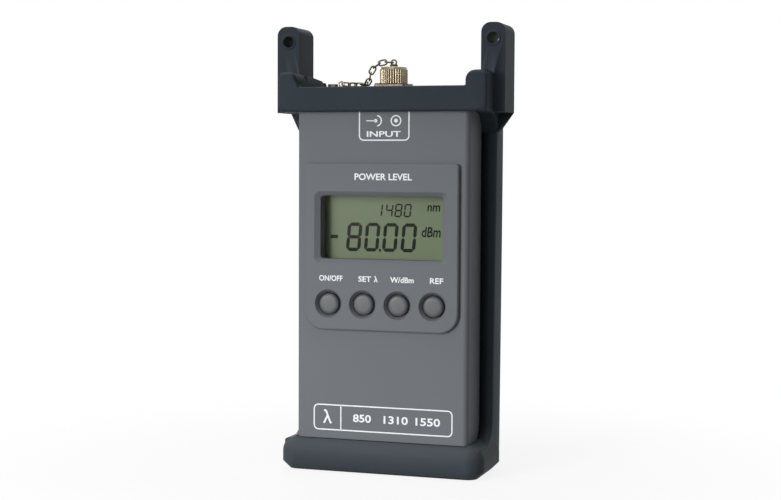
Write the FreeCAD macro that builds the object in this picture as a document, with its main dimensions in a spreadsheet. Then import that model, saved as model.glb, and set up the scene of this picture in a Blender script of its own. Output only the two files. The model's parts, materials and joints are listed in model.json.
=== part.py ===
import FreeCAD, Part
import math
import os

import Sketcher

# Handheld optical power meter in a rubber boot, standing on its foot.
# Millimetres. +X to the right seen from the front, +Y to the back, +Z up.
# The origin is on the ground, below the middle of the whole object.

SIZES = {
    # moulded shell: two covers that meet at a joint plane
    "ShellWidth": 72.0,
    "ShellHeight": 147.5,
    "ShellDepth": 29.5,
    "FrontDepth": 17.0,
    "ShellWall": 2.2,
    "ShellCorner": 3.0,
    "ShellEdge": 2.0,
    # raised control panel
    "PanelWidth": 64.6,
    "PanelHeight": 67.0,
    "PanelDrop": 30.1,
    "PanelRise": 1.8,
    "PanelTopCorner": 1.5,
    "PanelLowCorner": 8.0,
    "PanelEdge": 0.5,
    # display opening and what sits behind it
    "ViewWidth": 51.5,
    "ViewHeight": 25.5,
    "ViewDrop": 55.75,
    "ViewBevelAcross": 2.3,
    "ViewBevelUp": 1.6,
    "ViewSeat": 4.5,
    "ViewBevelDeep": 1.2,
    "ViewCorner": 1.5,
    "ViewRim": 2.4,
    "WindowThick": 1.2,
    "WindowLap": 2.0,
    "CellThick": 1.8,
    "CellLap": 2.6,
    "LightThick": 1.4,
    "FrameWall": 1.2,
    "StripWidth": 1.8,
    # keys
    "KeyPitch": 14.6,
    "KeyDrop": 86.6,
    "KeyRadius": 4.3,
    "KeyGap": 0.35,
    "KeyRecess": 0.3,
    "KeyBevelDeep": 1.5,
    "KeyBevelWide": 1.9,
    "KeySink": 1.8,
    "KeySinkFlare": 1.15,
    "KeyTravel": 0.5,
    "KeyFlange": 1.0,
    "KeyFlangeLap": 1.2,
    "KeyStemHalf": 1.6,
    # board
    "BoardWidth": 52.0,
    "BoardDrop": 11.0,
    "BoardHeight": 99.5,
    "BoardThick": 1.6,
    "BoardDepth": 9.7,
    "SwitchSize": 6.0,
    "SwitchBody": 2.6,
    "ChipSize": 12.0,
    "ChipThick": 1.5,
    "ShieldWidth": 30.0,
    "ShieldHeight": 16.0,
    "ShieldThick": 4.0,
    "BoardScrewAcross": 21.0,
    "KeyToScrew": 8.4,
    "BoardScrewHigh": 128.0,
    # battery, its bay and door
    "BatteryLong": 48.5,
    "BatteryTall": 26.5,
    "BatteryThick": 17.5,
    "DoorLap": 1.6,
    "DoorHeight": 36.0,
    "DoorLip": 1.2,
    "DoorGap": 0.2,
    "ContactThick": 1.0,
    # end plate, optical port and its cap
    "PlateFlange": 1.6,
    "PlateMargin": 4.0,
    "PlateProud": 0.4,
    "PlateGap": 0.1,
    "PortFlange": 13.0,
    "PortFlangeThick": 1.2,
    "PortRadius": 4.0,
    "PortHeight": 5.4,
    "PortBore": 1.25,
    "PortShank": 4.5,
    "CapRadius": 5.5,
    "CapHeight": 7.4,
    "CapRoof": 1.5,
    "ThreadGap": 0.06,
    "KnurlDepth": 0.3,
    "EyePin": 1.0,
    "EyeHead": 1.8,
    "EyeHeadThick": 0.5,
    "EyeGap": 0.05,
    "EyeRing": 1.4,
    "WireRadius": 0.3,
    "DetectorRadius": 4.6,
    "DetectorHeight": 4.2,
    "LeadRadius": 0.25,
    "LeadPitch": 2.54,
    # tether chain and its anchor
    "LinkLength": 4.2,
    "LinkWidth": 3.0,
    "LinkSlack": 0.24,
    "ChainSway": 2.9,
    "EyeletThick": 0.6,
    "AnchorInset": 9.7,
    "AnchorScrewHead": 2.2,
    # screws
    "ScrewRadius": 1.45,
    "ScrewHead": 2.7,
    "PostRadius": 3.2,
    "PostGap": 0.8,
    "PostLow": 7.5,
    "PostHigh": 9.5,
    "CaseScrewLong": 16.0,
    "BoardScrewLong": 5.0,
    "PortScrewLong": 2.5,
    "DoorScrewLong": 4.0,
    "AnchorScrewLong": 2.5,
    "HeadThick": 1.2,
    # rubber boot
    "SoleThick": 7.0,
    "BootWall": 5.2,
    "BootWallTop": 6.2,
    "BootBack": 2.0,
    "WallSetback": 18.0,
    "FootHeight": 13.4,
    "FootFrontBulge": 4.5,
    "FootSideBulge": 6.6,
    "FootPlanCorner": 7.0,
    "FootTopRound": 6.4,
    "FootSoleRound": 3.0,
    "HeelRound": 9.0,
    "BootCorner": 3.0,
    "ElbowRound": 8.0,
    "RailHeight": 10.0,
    "RailDepth": 3.0,
    "RailLap": 9.6,
    "RailReach": 7.5,
    "RailCorner": 2.5,
    "RailEdge": 1.0,
    "BumpRise": 6.0,
    "BumpWidth": 8.5,
    "BumpRound": 4.0,
    "ArmFall": 2.6,
    "EarInset": 2.2,
    "EarWidth": 9.8,
    "EarDepth": 16.3,
    "EarSetback": 8.0,
    "EarHeight": 25.5,
    "EarTopRound": 3.8,
    "EarEdge": 0.8,
    "EarTaper": 8.0,
    "StrapRadius": 2.25,
    "StrapDrop": 6.3,
    "OpeningWidth": 50.0,
    "OpeningLow": 18.0,
    "OpeningHeight": 110.0,
    "OpeningCorner": 7.0,
}

KNURLS = 32
SHEET = "Dims"


# ---------------------------------------------------------------- sizes

class Size:
    """A length that carries its number and the sheet formula it comes from."""

    def __init__(self, value, formula):
        self.value = value
        self.formula = formula

    def __add__(self, other):
        other = as_size(other)
        return Size(self.value + other.value, f"({self.formula} + {other.formula})")

    def __sub__(self, other):
        other = as_size(other)
        return Size(self.value - other.value, f"({self.formula} - {other.formula})")

    def __mul__(self, factor):
        return Size(self.value * factor, f"{self.formula} * {factor}")

    def __truediv__(self, divisor):
        return Size(self.value / divisor, f"{self.formula} / {divisor}")

    def __neg__(self):
        return Size(-self.value, f"(0 - {self.formula})")

    __radd__ = __add__
    __rmul__ = __mul__

    def __rsub__(self, other):
        return as_size(other) - self


def as_size(value):
    """Give a plain number the same form as a sheet size."""
    if isinstance(value, Size):
        return value
    return Size(float(value), f"({float(value)})")


class Sheet:
    """Named sizes of the spreadsheet, such as d.ShellWidth."""

    def __getattr__(self, name):
        return Size(SIZES[name], f"{SHEET}.{name}")


def fill_sheet(doc):
    sheet = doc.addObject("Spreadsheet::Sheet", SHEET)
    for row, (name, value) in enumerate(SIZES.items(), start=1):
        sheet.set(f"A{row}", name)
        sheet.set(f"B{row}", str(value))
        sheet.setAlias(f"B{row}", name)
    doc.recompute()


# ---------------------------------------------------------------- modelling helpers

def bind(item, path, size):
    item.setExpression(path, as_size(size).formula)


def place(item, across=0.0, depth=0.0, up=0.0, axis=None, degrees=0.0):
    """Set an object's place from sizes, turned about an axis if one is given."""
    if axis is not None:
        item.Placement = FreeCAD.Placement(
            FreeCAD.Vector(), FreeCAD.Rotation(FreeCAD.Vector(*axis), degrees))
    bind(item, ".Placement.Base.x", across)
    bind(item, ".Placement.Base.y", depth)
    bind(item, ".Placement.Base.z", up)


def new_body(name):
    body = doc.addObject("PartDesign::Body", name)
    body.Label = name
    return body


def add_sketch(body, plane, level):
    """Sketch on a plane of the body: front (X, Z), side (Y, Z) or plan (X, Y)."""
    role = {"front": "XZ_Plane", "side": "YZ_Plane", "plan": "XY_Plane"}[plane]
    support = [item for item in body.Origin.OriginFeatures if item.Role == role][0]
    sketch = body.newObject("Sketcher::SketchObject", f"{body.Name}_{plane}")
    sketch.AttachmentSupport = (support, [""])
    sketch.MapMode = "FlatFace"
    bind(sketch, ".AttachmentOffset.Base.z", -as_size(level) if plane == "front" else level)
    return sketch


def fix_point(sketch, geometry, position, across, up):
    """Hold a point of the sketch at its distances from the origin."""
    for kind, size in (("DistanceX", as_size(across)), ("DistanceY", as_size(up))):
        index = sketch.addConstraint(
            Sketcher.Constraint(kind, -1, 1, geometry, position, size.value))
        sketch.setExpression(f"Constraints[{index}]", size.formula)


def round_corner(before, corner, after, radius):
    """Arc that rounds a corner, where it starts and ends, and if it turns left."""
    to_before = (before - corner).normalize()
    to_after = (after - corner).normalize()
    half = to_before.getAngle(to_after) / 2
    entry = corner + to_before * (radius / math.tan(half))
    leave = corner + to_after * (radius / math.tan(half))
    middle = corner + (to_before + to_after).normalize() * (radius / math.sin(half))
    left = to_before.cross(to_after).z < 0
    first, last = (entry, leave) if left else (leave, entry)
    start = math.atan2(first.y - middle.y, first.x - middle.x)
    stop = math.atan2(last.y - middle.y, last.x - middle.x)
    circle = Part.Circle(middle, FreeCAD.Vector(0, 0, 1), radius)
    return Part.ArcOfCircle(circle, start, stop), entry, leave, left


def draw_outline(sketch, corners):
    """Closed outline through corners (across, up), each rounded if it has a radius."""
    count = len(corners)
    spots = [FreeCAD.Vector(as_size(c[0]).value, as_size(c[1]).value, 0) for c in corners]
    entries, leaves, marks, arcs = list(spots), list(spots), [], {}
    for index, corner in enumerate(corners):
        mark = sketch.addGeometry(Part.Point(spots[index]), True)
        marks.append(mark)
        fix_point(sketch, mark, 1, corner[0], corner[1])
        if len(corner) > 2:
            radius = as_size(corner[2])
            arc, entry, leave, left = round_corner(
                spots[index - 1], spots[index], spots[(index + 1) % count], radius.value)
            entries[index], leaves[index] = entry, leave
            geometry = sketch.addGeometry(arc)
            arcs[index] = (geometry, 1 if left else 2, 2 if left else 1)
            rule = sketch.addConstraint(Sketcher.Constraint("Radius", geometry, radius.value))
            sketch.setExpression(f"Constraints[{rule}]", radius.formula)
    for index in range(count):
        after = (index + 1) % count
        line = sketch.addGeometry(Part.LineSegment(leaves[index], entries[after]))
        for end, spot in ((1, index), (2, after)):
            if spot in arcs:
                geometry, first, last = arcs[spot]
                touch = last if end == 1 else first
                sketch.addConstraint(Sketcher.Constraint("PointOnObject", marks[spot], 1, line))
                sketch.addConstraint(Sketcher.Constraint("Tangent", line, end, geometry, touch))
            else:
                sketch.addConstraint(Sketcher.Constraint("Coincident", line, end, marks[spot], 1))


def draw_circle(sketch, across, up, radius):
    across, up, radius = as_size(across), as_size(up), as_size(radius)
    centre = FreeCAD.Vector(across.value, up.value, 0)
    circle = Part.Circle(centre, FreeCAD.Vector(0, 0, 1), radius.value)
    geometry = sketch.addGeometry(circle)
    fix_point(sketch, geometry, 3, across, up)
    rule = sketch.addConstraint(Sketcher.Constraint("Radius", geometry, radius.value))
    sketch.setExpression(f"Constraints[{rule}]", radius.formula)


def rectangle(low, high, bottom, top, radius=None):
    corners = [(low, bottom), (high, bottom), (high, top), (low, top)]
    if radius is None:
        return corners
    return [corner + (radius,) for corner in corners]


def extrude(body, plane, low, high, corners, kind="Pad"):
    """Pad or pocket an outline from one level of its plane to another."""
    sketch = add_sketch(body, plane, low)
    draw_outline(sketch, corners)
    feature = body.newObject(f"PartDesign::{kind}", f"{body.Name}_{kind}")
    feature.Profile = sketch
    feature.Reversed = (plane == "front") != (kind == "Pocket")
    bind(feature, "Length", as_size(high) - low)
    doc.recompute()
    return feature


def drill(body, plane, low, high, circles):
    """Pocket round holes (across, up, radius) from one level to another."""
    sketch = add_sketch(body, plane, low)
    for across, up, radius in circles:
        draw_circle(sketch, across, up, radius)
    feature = body.newObject("PartDesign::Pocket", f"{body.Name}_Holes")
    feature.Profile = sketch
    feature.Reversed = plane != "front"
    bind(feature, "Length", as_size(high) - low)
    doc.recompute()
    return feature


def edges_on(feature, axis, level):
    """Names of a feature's edges that lie wholly in one plane, such as Z = level."""
    low = {"x": "XMin", "y": "YMin", "z": "ZMin"}[axis]
    high = {"x": "XMax", "y": "YMax", "z": "ZMax"}[axis]
    names = []
    for index, edge in enumerate(feature.Shape.Edges, start=1):
        box = edge.BoundBox
        if abs(getattr(box, low) - level.value) < 0.001 and abs(getattr(box, high) - level.value) < 0.001:
            names.append(f"Edge{index}")
    return names


def soften(body, feature, edges, radius, kind="Fillet"):
    """Round or chamfer named edges of the body's last feature."""
    dress = body.newObject(f"PartDesign::{kind}", f"{body.Name}_{kind}")
    dress.Base = (feature, edges)
    bind(dress, "Radius" if kind == "Fillet" else "Size", radius)
    doc.recompute()
    return dress


def turned(name, profile):
    """Body turned about its own Z axis from an outline of (radius, height) corners."""
    body = new_body(name)
    sketch = add_sketch(body, "front", 0.0)
    draw_outline(sketch, profile)
    spin = body.newObject("PartDesign::Revolution", f"{name}_turn")
    spin.Profile = sketch
    spin.ReferenceAxis = (sketch, ["V_Axis"])
    spin.Angle = 360.0
    doc.recompute()
    return body


def block(name, across, depth, up):
    """Box between (low, high) pairs along X, Y and Z."""
    item = doc.addObject("Part::Box", name)
    for side, (low, high) in zip(("Length", "Width", "Height"), (across, depth, up)):
        bind(item, side, as_size(high) - low)
    place(item, across[0], depth[0], up[0])
    return item


def join(name, items):
    joined = doc.addObject("Part::MultiFuse", name)
    joined.Shapes = items
    joined.Refine = True
    joined.Label = name
    return joined


def group(name, items):
    compound = doc.addObject("Part::Compound", name)
    compound.Links = items
    compound.Label = name
    return compound


def remove(name, base, tools):
    cut = doc.addObject("Part::Cut", name)
    cut.Base = base
    cut.Tool = tools[0] if len(tools) == 1 else join(f"{name}_tools", tools)
    cut.Refine = True
    cut.Label = name
    return cut


# ---------------------------------------------------------------- shared places

doc = FreeCAD.newDocument("optical_power_meter")
fill_sheet(doc)
d = Sheet()

side = d.ShellWidth / 2
floor = d.SoleThick
top = floor + d.ShellHeight
front = d.FootFrontBulge - (d.FootFrontBulge + d.ShellDepth + d.BootBack) / 2
back = front + d.ShellDepth
joint = front + d.FrontDepth
in_side = side - d.ShellWall
in_front = front + d.ShellWall
in_back = back - d.ShellWall
in_floor = floor + d.ShellWall
in_top = top - d.ShellWall
panel_face = front - d.PanelRise
panel_top = top - d.PanelDrop
panel_low = panel_top - d.PanelHeight
view_up = top - d.ViewDrop
view_seat = front + d.ViewSeat
key_up = top - d.KeyDrop
board_face = front + d.BoardDepth
board_back = board_face + d.BoardThick
board_top = top - d.BoardDrop
board_low = board_top - d.BoardHeight
middle = (front + back) / 2
anchor_across = side - d.AnchorInset
plate_top = top + d.PlateProud
plate_low = in_top - d.PlateFlange
rail_low = top - d.RailLap
rail_top = rail_low + d.RailHeight
PAST = 2.0


# ---------------------------------------------------------------- rubber boot

def boot_foot():
    """Pillow-shaped foot: rounded in plan, with a full upper and a small lower edge."""
    body = new_body("foot")
    half = side + d.FootSideBulge
    pad = extrude(body, "plan", 0.0, d.FootHeight, rectangle(
        -half, half, front - d.FootFrontBulge, back + d.BootBack, d.FootPlanCorner))
    rounded = soften(body, pad, edges_on(pad, "z", d.FootHeight), d.FootTopRound)
    soften(body, rounded, edges_on(rounded, "z", as_size(0.0)), d.FootSoleRound, "Chamfer")
    return body


def boot_walls():
    """Side walls and back in one block, with the elbow at the foot and at the rail."""
    body = new_body("walls")
    half = side + d.BootWallTop
    wall_edge = front + d.WallSetback
    heel = back + d.BootBack
    arm_top = rail_top + d.BumpRise
    sketch_line = [
        (front - d.RailDepth, rail_low, d.RailEdge),
        (wall_edge, rail_low, d.ElbowRound),
        (wall_edge, d.FootHeight - 1.0, d.ElbowRound),
        (front, d.FootHeight - 1.0),
        (front, d.FootSoleRound + 1.0),
        (front + d.HeelRound, 0.0),
        (heel, 0.0, d.HeelRound),
        (heel, arm_top - d.ArmFall, d.BumpRound),
        (front - d.RailDepth, arm_top, d.RailEdge),
    ]
    pad = extrude(body, "side", -half, half, list(reversed(sketch_line)))
    soften(body, pad, upright_edges(pad, half, heel), d.BootCorner)
    for hand in (-1, 1):
        wedge = [((side + d.BootWall - d.FootSoleRound) * hand, -PAST), ((half + PAST) * hand, -PAST),
                 ((half + PAST) * hand, rail_low), (half * hand, rail_low),
                 ((side + d.BootWall) * hand, d.FootSoleRound)]
        if hand < 0:
            wedge.reverse()
        extrude(body, "front", front - 2 * d.RailDepth, heel + PAST, wedge, "Pocket")
    return body


def upright_edges(feature, half, depth):
    """Names of the straight upright edges at both sides of a block's back."""
    names = []
    for index, edge in enumerate(feature.Shape.Edges, start=1):
        box = edge.BoundBox
        at_back = abs(box.YMin - depth.value) < 0.001 and abs(box.YMax - depth.value) < 0.001
        at_side = abs(abs(box.XMin) - half.value) < 0.001 and box.XLength < 0.001
        if at_back and at_side:
            names.append(f"Edge{index}")
    return names


def boot_rail():
    """Front rail with a bump at each end."""
    body = new_body("rail")
    reach = side + d.RailReach
    inner = reach - d.BumpWidth
    bump = rail_top + d.BumpRise
    outline = [
        (-reach, rail_low, d.RailCorner),
        (reach, rail_low, d.RailCorner),
        (reach, bump, d.RailCorner),
        (inner, bump, d.BumpRound),
        (inner, rail_top, d.RailEdge),
        (-inner, rail_top, d.RailEdge),
        (-inner, bump, d.BumpRound),
        (-reach, bump, d.RailCorner),
    ]
    pad = extrude(body, "front", front - d.RailDepth, front, outline)
    soften(body, pad, edges_on(pad, "y", front - d.RailDepth), d.RailEdge, "Chamfer")
    return body


def boot_arm(name, hand):
    """Arm that runs from the rail's bump to the back, over the shell's side."""
    body = new_body(name)
    outer = side + d.RailReach
    inner = outer - d.BumpWidth
    low = front - d.RailDepth + d.RailEdge
    arm_top = rail_top + d.BumpRise
    fall = d.ArmFall
    far = back + d.BootBack - d.BootCorner
    extrude(body, "side", inner * hand if hand > 0 else -outer, outer if hand > 0 else -inner, [
        (low, rail_low),
        (far, rail_low, d.RailCorner),
        (far, arm_top - fall, d.BumpRound),
        (low, arm_top),
    ])
    return body


def boot_ear(name, hand):
    """Tall ear beside the shell, tapered into the wall below, with a strap hole."""
    body = new_body(name)
    inner = side + d.EarInset
    outer = inner + d.EarWidth
    tip = top + d.EarHeight
    root = rail_low - d.EarTaper
    outline = [
        (side * hand, root),
        ((side + d.BootWallTop) * hand, root),
        (outer * hand, rail_low),
        (outer * hand, tip, d.EarTopRound),
        (inner * hand, tip, d.EarTopRound),
        (inner * hand, rail_top),
        (side * hand, rail_top),
    ]
    if hand < 0:
        outline.reverse()
    near = front + d.EarSetback
    far = near + d.EarDepth
    pad = extrude(body, "front", near, far, outline)
    hole_across = (inner + d.EarWidth / 2) * hand
    hole_up = tip - d.StrapDrop
    soften(body, pad, edges_on(pad, "y", far), d.EarEdge, "Chamfer")
    drill(body, "front", near - PAST, far + PAST, [(hole_across, hole_up, d.StrapRadius)])
    return body


def bump_round(name, hand):
    """Cutter that rounds a bump's and its arm's inner top corner."""
    inner = side + d.RailReach - d.BumpWidth
    arm_top = rail_top + d.BumpRise
    outline = [
        ((inner - PAST) * hand, arm_top - d.BumpRound - d.RailEdge),
        (inner * hand, arm_top - d.BumpRound - d.RailEdge),
        (inner * hand, arm_top, d.BumpRound),
        ((inner + d.BumpRound + d.RailEdge) * hand, arm_top),
        ((inner + d.BumpRound + d.RailEdge) * hand, arm_top + PAST),
        ((inner - PAST) * hand, arm_top + PAST),
    ]
    if hand < 0:
        outline.reverse()
    body = new_body(name)
    near = front + d.EarSetback
    extrude(body, "front", front - 2 * d.RailDepth, near, outline)
    return body


def shell_space():
    """Space that the shell takes up in the boot, open at the top."""
    body = new_body("shell_space")
    extrude(body, "front", front, back, [
        (-side, floor, d.ShellCorner),
        (side, floor, d.ShellCorner),
        (side, top + d.EarHeight),
        (-side, top + d.EarHeight),
    ])
    return body


def holster():
    """Rubber boot, moulded in one piece."""
    reach = side + d.RailReach - d.BumpWidth
    over = top + d.EarHeight
    walls = remove("boot_frame", boot_walls(), [
        shell_space(),
        block("top_well", (-reach, reach), (front - 2 * d.RailDepth, back + 2 * d.BootBack), (top, over)),
    ])
    arms = [boot_arm("arm_left", -1), boot_arm("arm_right", 1)]
    ears = [boot_ear("ear_left", -1), boot_ear("ear_right", 1)]
    low_space = block("low_space", (-side, side), (front, back), (floor, top))
    solid = join("boot_solid", [boot_foot(), walls, boot_rail()] + arms + ears)
    rounds = [bump_round("bump_round_left", -1), bump_round("bump_round_right", 1)]
    opening = new_body("back_opening")
    low = floor + d.OpeningLow
    extrude(opening, "front", back - PAST, back + d.BootBack + PAST, rectangle(
        -d.OpeningWidth / 2, d.OpeningWidth / 2, low, low + d.OpeningHeight, d.OpeningCorner))
    return remove("holster", solid, [low_space, opening] + rounds)


# ---------------------------------------------------------------- moulded shell

def shell_outline():
    return rectangle(-side, side, floor, top, d.ShellCorner)


def hollow_outline():
    """Inside of the covers: square at the top, where the end plate seats."""
    corner = d.ShellCorner / 2
    return [(-in_side, in_floor, corner), (in_side, in_floor, corner),
            (in_side, in_top), (-in_side, in_top)]


def post_places():
    """Middles of the four screw posts, as (across, up)."""
    reach = d.BatteryLong / 2 + d.ContactThick + d.PostGap + d.PostRadius
    return [(reach * hand, up) for hand in (-1, 1)
            for up in (floor + d.PostLow, top - d.PostHigh)]


def board_screw_places():
    return [(d.BoardScrewAcross * hand, up) for hand in (-1, 1)
            for up in (key_up - d.KeyToScrew, floor + d.BoardScrewHigh)]


def key_places():
    """How far across each key stands, from left to right."""
    return [d.KeyPitch * step for step in (-1.5, -0.5, 0.5, 1.5)]


def shell_top_hole():
    """Hole in both covers' top wall that the end plate fills."""
    reach = in_side - d.PlateMargin
    return block("shell_top_hole", (-reach, reach),
                 (in_front + d.PlateMargin, in_back - d.PlateMargin), (in_top - PAST, top + PAST))


def plate_ledges():
    """Ribs inside both covers that the end plate rests on."""
    reach = in_side - d.PlateMargin / 2
    low = plate_low - d.PlateFlange
    return [block(f"ledge_{word}", (reach * hand, in_side * hand) if hand > 0 else
                  (-in_side, -reach), (in_front, in_back), (low, plate_low))
            for word, hand in (("left", -1), ("right", 1))]


def add_posts(body, low, high, places, radius):
    """Round posts across the shell's depth, each with its screw hole added later."""
    sketch = add_sketch(body, "front", low)
    for across, up in places:
        draw_circle(sketch, across, up, radius)
    feature = body.newObject("PartDesign::Pad", f"{body.Name}_Posts")
    feature.Profile = sketch
    feature.Reversed = True
    bind(feature, "Length", as_size(high) - low)
    doc.recompute()
    return feature


def front_cover():
    """Front half of the shell, with the raised panel, display opening and key holes."""
    body = new_body("front_shell")
    pad = extrude(body, "front", front, joint, shell_outline())
    soften(body, pad, edges_on(pad, "y", front), d.ShellEdge)
    extrude(body, "front", in_front, joint, hollow_outline(), "Pocket")
    half = d.PanelWidth / 2
    panel = extrude(body, "front", panel_face, front, [
        (-half, panel_low, d.PanelLowCorner),
        (half, panel_low, d.PanelLowCorner),
        (half, panel_top, d.PanelTopCorner),
        (-half, panel_top, d.PanelTopCorner),
    ])
    soften(body, panel, edges_on(panel, "y", panel_face), d.PanelEdge, "Chamfer")
    extrude(body, "front", in_front, view_seat,
            view_outline(d.ViewRim, d.ViewRim, d.ViewCorner))
    add_posts(body, in_front, joint, post_places(), d.PostRadius)
    add_posts(body, in_front, board_face, board_screw_places(), d.PostRadius - 0.7)
    drill(body, "front", in_front, joint + PAST,
          [(across, up, d.ScrewRadius) for across, up in post_places()])
    drill(body, "front", in_front, board_face + PAST,
          [(across, up, d.ScrewRadius / 2) for across, up in board_screw_places()])
    cut_view(body)
    sinks = [key_sink(f"key_sink_{index}", across)
             for index, across in enumerate(key_places(), start=1)]
    ledges = [remove(f"{ledge.Name}_front", ledge, [block(f"{ledge.Name}_back_half",
              (-side, side), (joint, back), (floor, top))]) for ledge in plate_ledges()]
    return remove("front_cover", join("front_cover_solid", [body] + ledges),
                  [shell_top_hole()] + sinks)


def view_outline(across_more, up_more, corner):
    """Outline of the display opening, made larger each way."""
    across = d.ViewWidth / 2 + across_more
    tall = d.ViewHeight / 2 + up_more
    return rectangle(-across, across, view_up - tall, view_up + tall, corner)


def cut_view(body):
    """Display opening: a shallow bevel lofted from the panel's face, then straight walls."""
    ledge = panel_face + d.ViewBevelDeep
    wide = add_sketch(body, "front", panel_face)
    draw_outline(wide, view_outline(d.ViewBevelAcross, d.ViewBevelUp, d.ViewCorner + 1.0))
    narrow = add_sketch(body, "front", ledge)
    draw_outline(narrow, view_outline(0.0, 0.0, d.ViewCorner))
    loft = body.newObject("PartDesign::SubtractiveLoft", "view_bevel")
    loft.Profile = wide
    loft.Sections = [narrow]
    loft.Ruled = True
    doc.recompute()
    extrude(body, "front", ledge, view_seat, view_outline(0.0, 0.0, d.ViewCorner), "Pocket")


def key_sink(name, across):
    """Countersunk hole for a key, to cut from the panel."""
    hole = d.KeyRadius + d.KeyGap
    flare = hole + d.KeySinkFlare
    cutter = turned(name, [
        (0.0, -(d.PanelRise + d.ShellWall + PAST)),
        (hole, -(d.PanelRise + d.ShellWall + PAST)),
        (hole, -d.KeySink),
        (flare, 0.0),
        (flare, PAST),
        (0.0, PAST),
    ])
    place(cutter, across, panel_face, key_up, (1, 0, 0), 90)
    return cutter


def rear_cover():
    """Rear half of the shell, with screw posts and the battery bay's stepped opening."""
    body = new_body("rear_shell")
    pad = extrude(body, "front", joint, back, shell_outline())
    soften(body, pad, edges_on(pad, "y", back), d.ShellEdge)
    extrude(body, "front", joint, in_back, hollow_outline(), "Pocket")
    add_posts(body, joint, in_back, post_places(), d.PostRadius)
    drill(body, "front", joint - PAST, back + PAST,
          [(across, up, d.ScrewRadius + 0.15) for across, up in post_places()])
    drill(body, "front", back - d.ScrewHead, back + PAST,
          [(across, up, d.ScrewHead + 0.3) for across, up in post_places()])
    half = d.BatteryLong / 2 + d.DoorLap
    low = in_floor
    high = low + d.DoorHeight
    ledges = [remove(f"{ledge.Name}_rear", ledge, [block(f"{ledge.Name}_front_half",
              (-side, side), (front, joint), (floor, top))]) for ledge in plate_ledges()]
    outer = block("door_recess", (-half, half), (in_back + d.ShellWall / 2, back + PAST), (low, high))
    inner = block("door_opening", (-half + d.DoorLip, half - d.DoorLip), (joint, back + PAST),
                  (low + d.DoorLip, high - d.DoorLip - 2 * d.ScrewHead))
    screw = turned("door_screw_hole", [
        (0.0, -2 * d.ShellWall), (d.ScrewRadius, -2 * d.ShellWall), (d.ScrewRadius, PAST), (0.0, PAST)])
    place(screw, 0.0, back, door_screw_up(), (1, 0, 0), -90)
    boss = doc.addObject("Part::Cylinder", "door_boss")
    bind(boss, "Radius", d.PostRadius)
    bind(boss, "Height", in_back - joint)
    place(boss, 0.0, in_back, door_screw_up(), (1, 0, 0), 90)
    solid = join("rear_cover_solid", [body, boss] + ledges)
    return remove("rear_cover", solid, [shell_top_hole(), outer, inner, screw])


def door_screw_up():
    return in_floor + d.DoorHeight - d.ScrewHead - d.DoorLip


def battery_door():
    """Flat door with a step that locates it and ribs for the thumb."""
    half = d.BatteryLong / 2 + d.DoorLap - d.DoorGap
    low = in_floor + d.DoorGap
    high = in_floor + d.DoorHeight - d.DoorGap
    body = new_body("door_plate")
    plate = extrude(body, "front", back - d.ShellWall / 2, back, rectangle(-half, half, low, high, 0.6))
    lip = d.DoorLip + d.DoorGap
    extrude(body, "front", in_back, back - d.ShellWall / 2, rectangle(
        -half + lip, half - lip, low + lip, high - lip - 2 * d.ScrewHead))
    drill(body, "front", in_back - PAST, back + PAST, [(0.0, door_screw_up(), d.ScrewRadius + 0.15)])
    body.Label = "battery_door"
    return body


def end_plate():
    """Stepped plate that closes the shell's top and carries the optical port."""
    body = new_body("end_plate")
    reach = in_side - d.PlateGap
    extrude(body, "plan", plate_low, in_top, rectangle(
        -reach, reach, in_front + d.PlateGap, in_back - d.PlateGap))
    across = in_side - d.PlateMargin - d.PlateGap
    low = in_front + d.PlateMargin + d.PlateGap
    high = in_back - d.PlateMargin - d.PlateGap
    extrude(body, "plan", in_top, plate_top, rectangle(-across, across, low, high, 1.0))
    drill(body, "plan", plate_low - PAST, plate_top + PAST, [
        (0.0, middle, d.PortShank + d.PlateGap),
        (-anchor_across, middle, d.ScrewRadius)])
    drill(body, "plan", plate_low - PAST, plate_top + PAST,
          [(across, depth, d.ScrewRadius / 2) for across, depth in port_screw_places()])
    return body


# ---------------------------------------------------------------- display

def display_window():
    """Clear window, seated on the rim behind the opening."""
    body = new_body("display_window")
    extrude(body, "front", view_seat, view_seat + d.WindowThick, view_outline(d.WindowLap, d.WindowLap, 0.5))
    return body


def cell_outline(margin):
    """Outline of the liquid crystal cell, larger all round by a margin."""
    lap = d.CellLap + margin
    across = d.ViewWidth / 2 + lap
    tall = d.ViewHeight / 2 + lap
    return rectangle(-across, across, view_up - tall, view_up + tall)


def lcd_glass():
    body = new_body("lcd_glass")
    low = view_seat + d.WindowThick
    extrude(body, "front", low, low + d.CellThick, cell_outline(0.0))
    return body


def strip_places():
    """Lower and upper contact strips, as (low, high) heights."""
    reach = d.ViewHeight / 2 + d.CellLap
    return [(view_up - reach, view_up - reach + d.StripWidth),
            (view_up + reach - d.StripWidth, view_up + reach)]


def contact_strips():
    """Two rubber contact strips that join the cell to the board."""
    across = d.ViewWidth / 2 + d.CellLap - 1.0
    low = view_seat + d.WindowThick + d.CellThick
    return group("contact_strips", [
        block(f"strip_{word}", (-across, across), (low, board_face), heights)
        for word, heights in zip(("low", "high"), strip_places())])


def backlight():
    """Light guide between the contact strips."""
    body = new_body("backlight")
    low = view_seat + d.WindowThick + d.CellThick
    across = d.ViewWidth / 2 + d.CellLap - 1.0
    lower, upper = strip_places()
    extrude(body, "front", low, low + d.LightThick, rectangle(
        -across, across, lower[1] + 0.3, upper[0] - 0.3))
    return body


def lcd_frame():
    """Frame round the cell, standing on the board behind the window's rim."""
    body = new_body("lcd_frame")
    low = view_seat + d.WindowThick
    extrude(body, "front", low, board_face, cell_outline(d.FrameWall))
    extrude(body, "front", low, board_face, cell_outline(0.0), "Pocket")
    return body


# ---------------------------------------------------------------- keys

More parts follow.
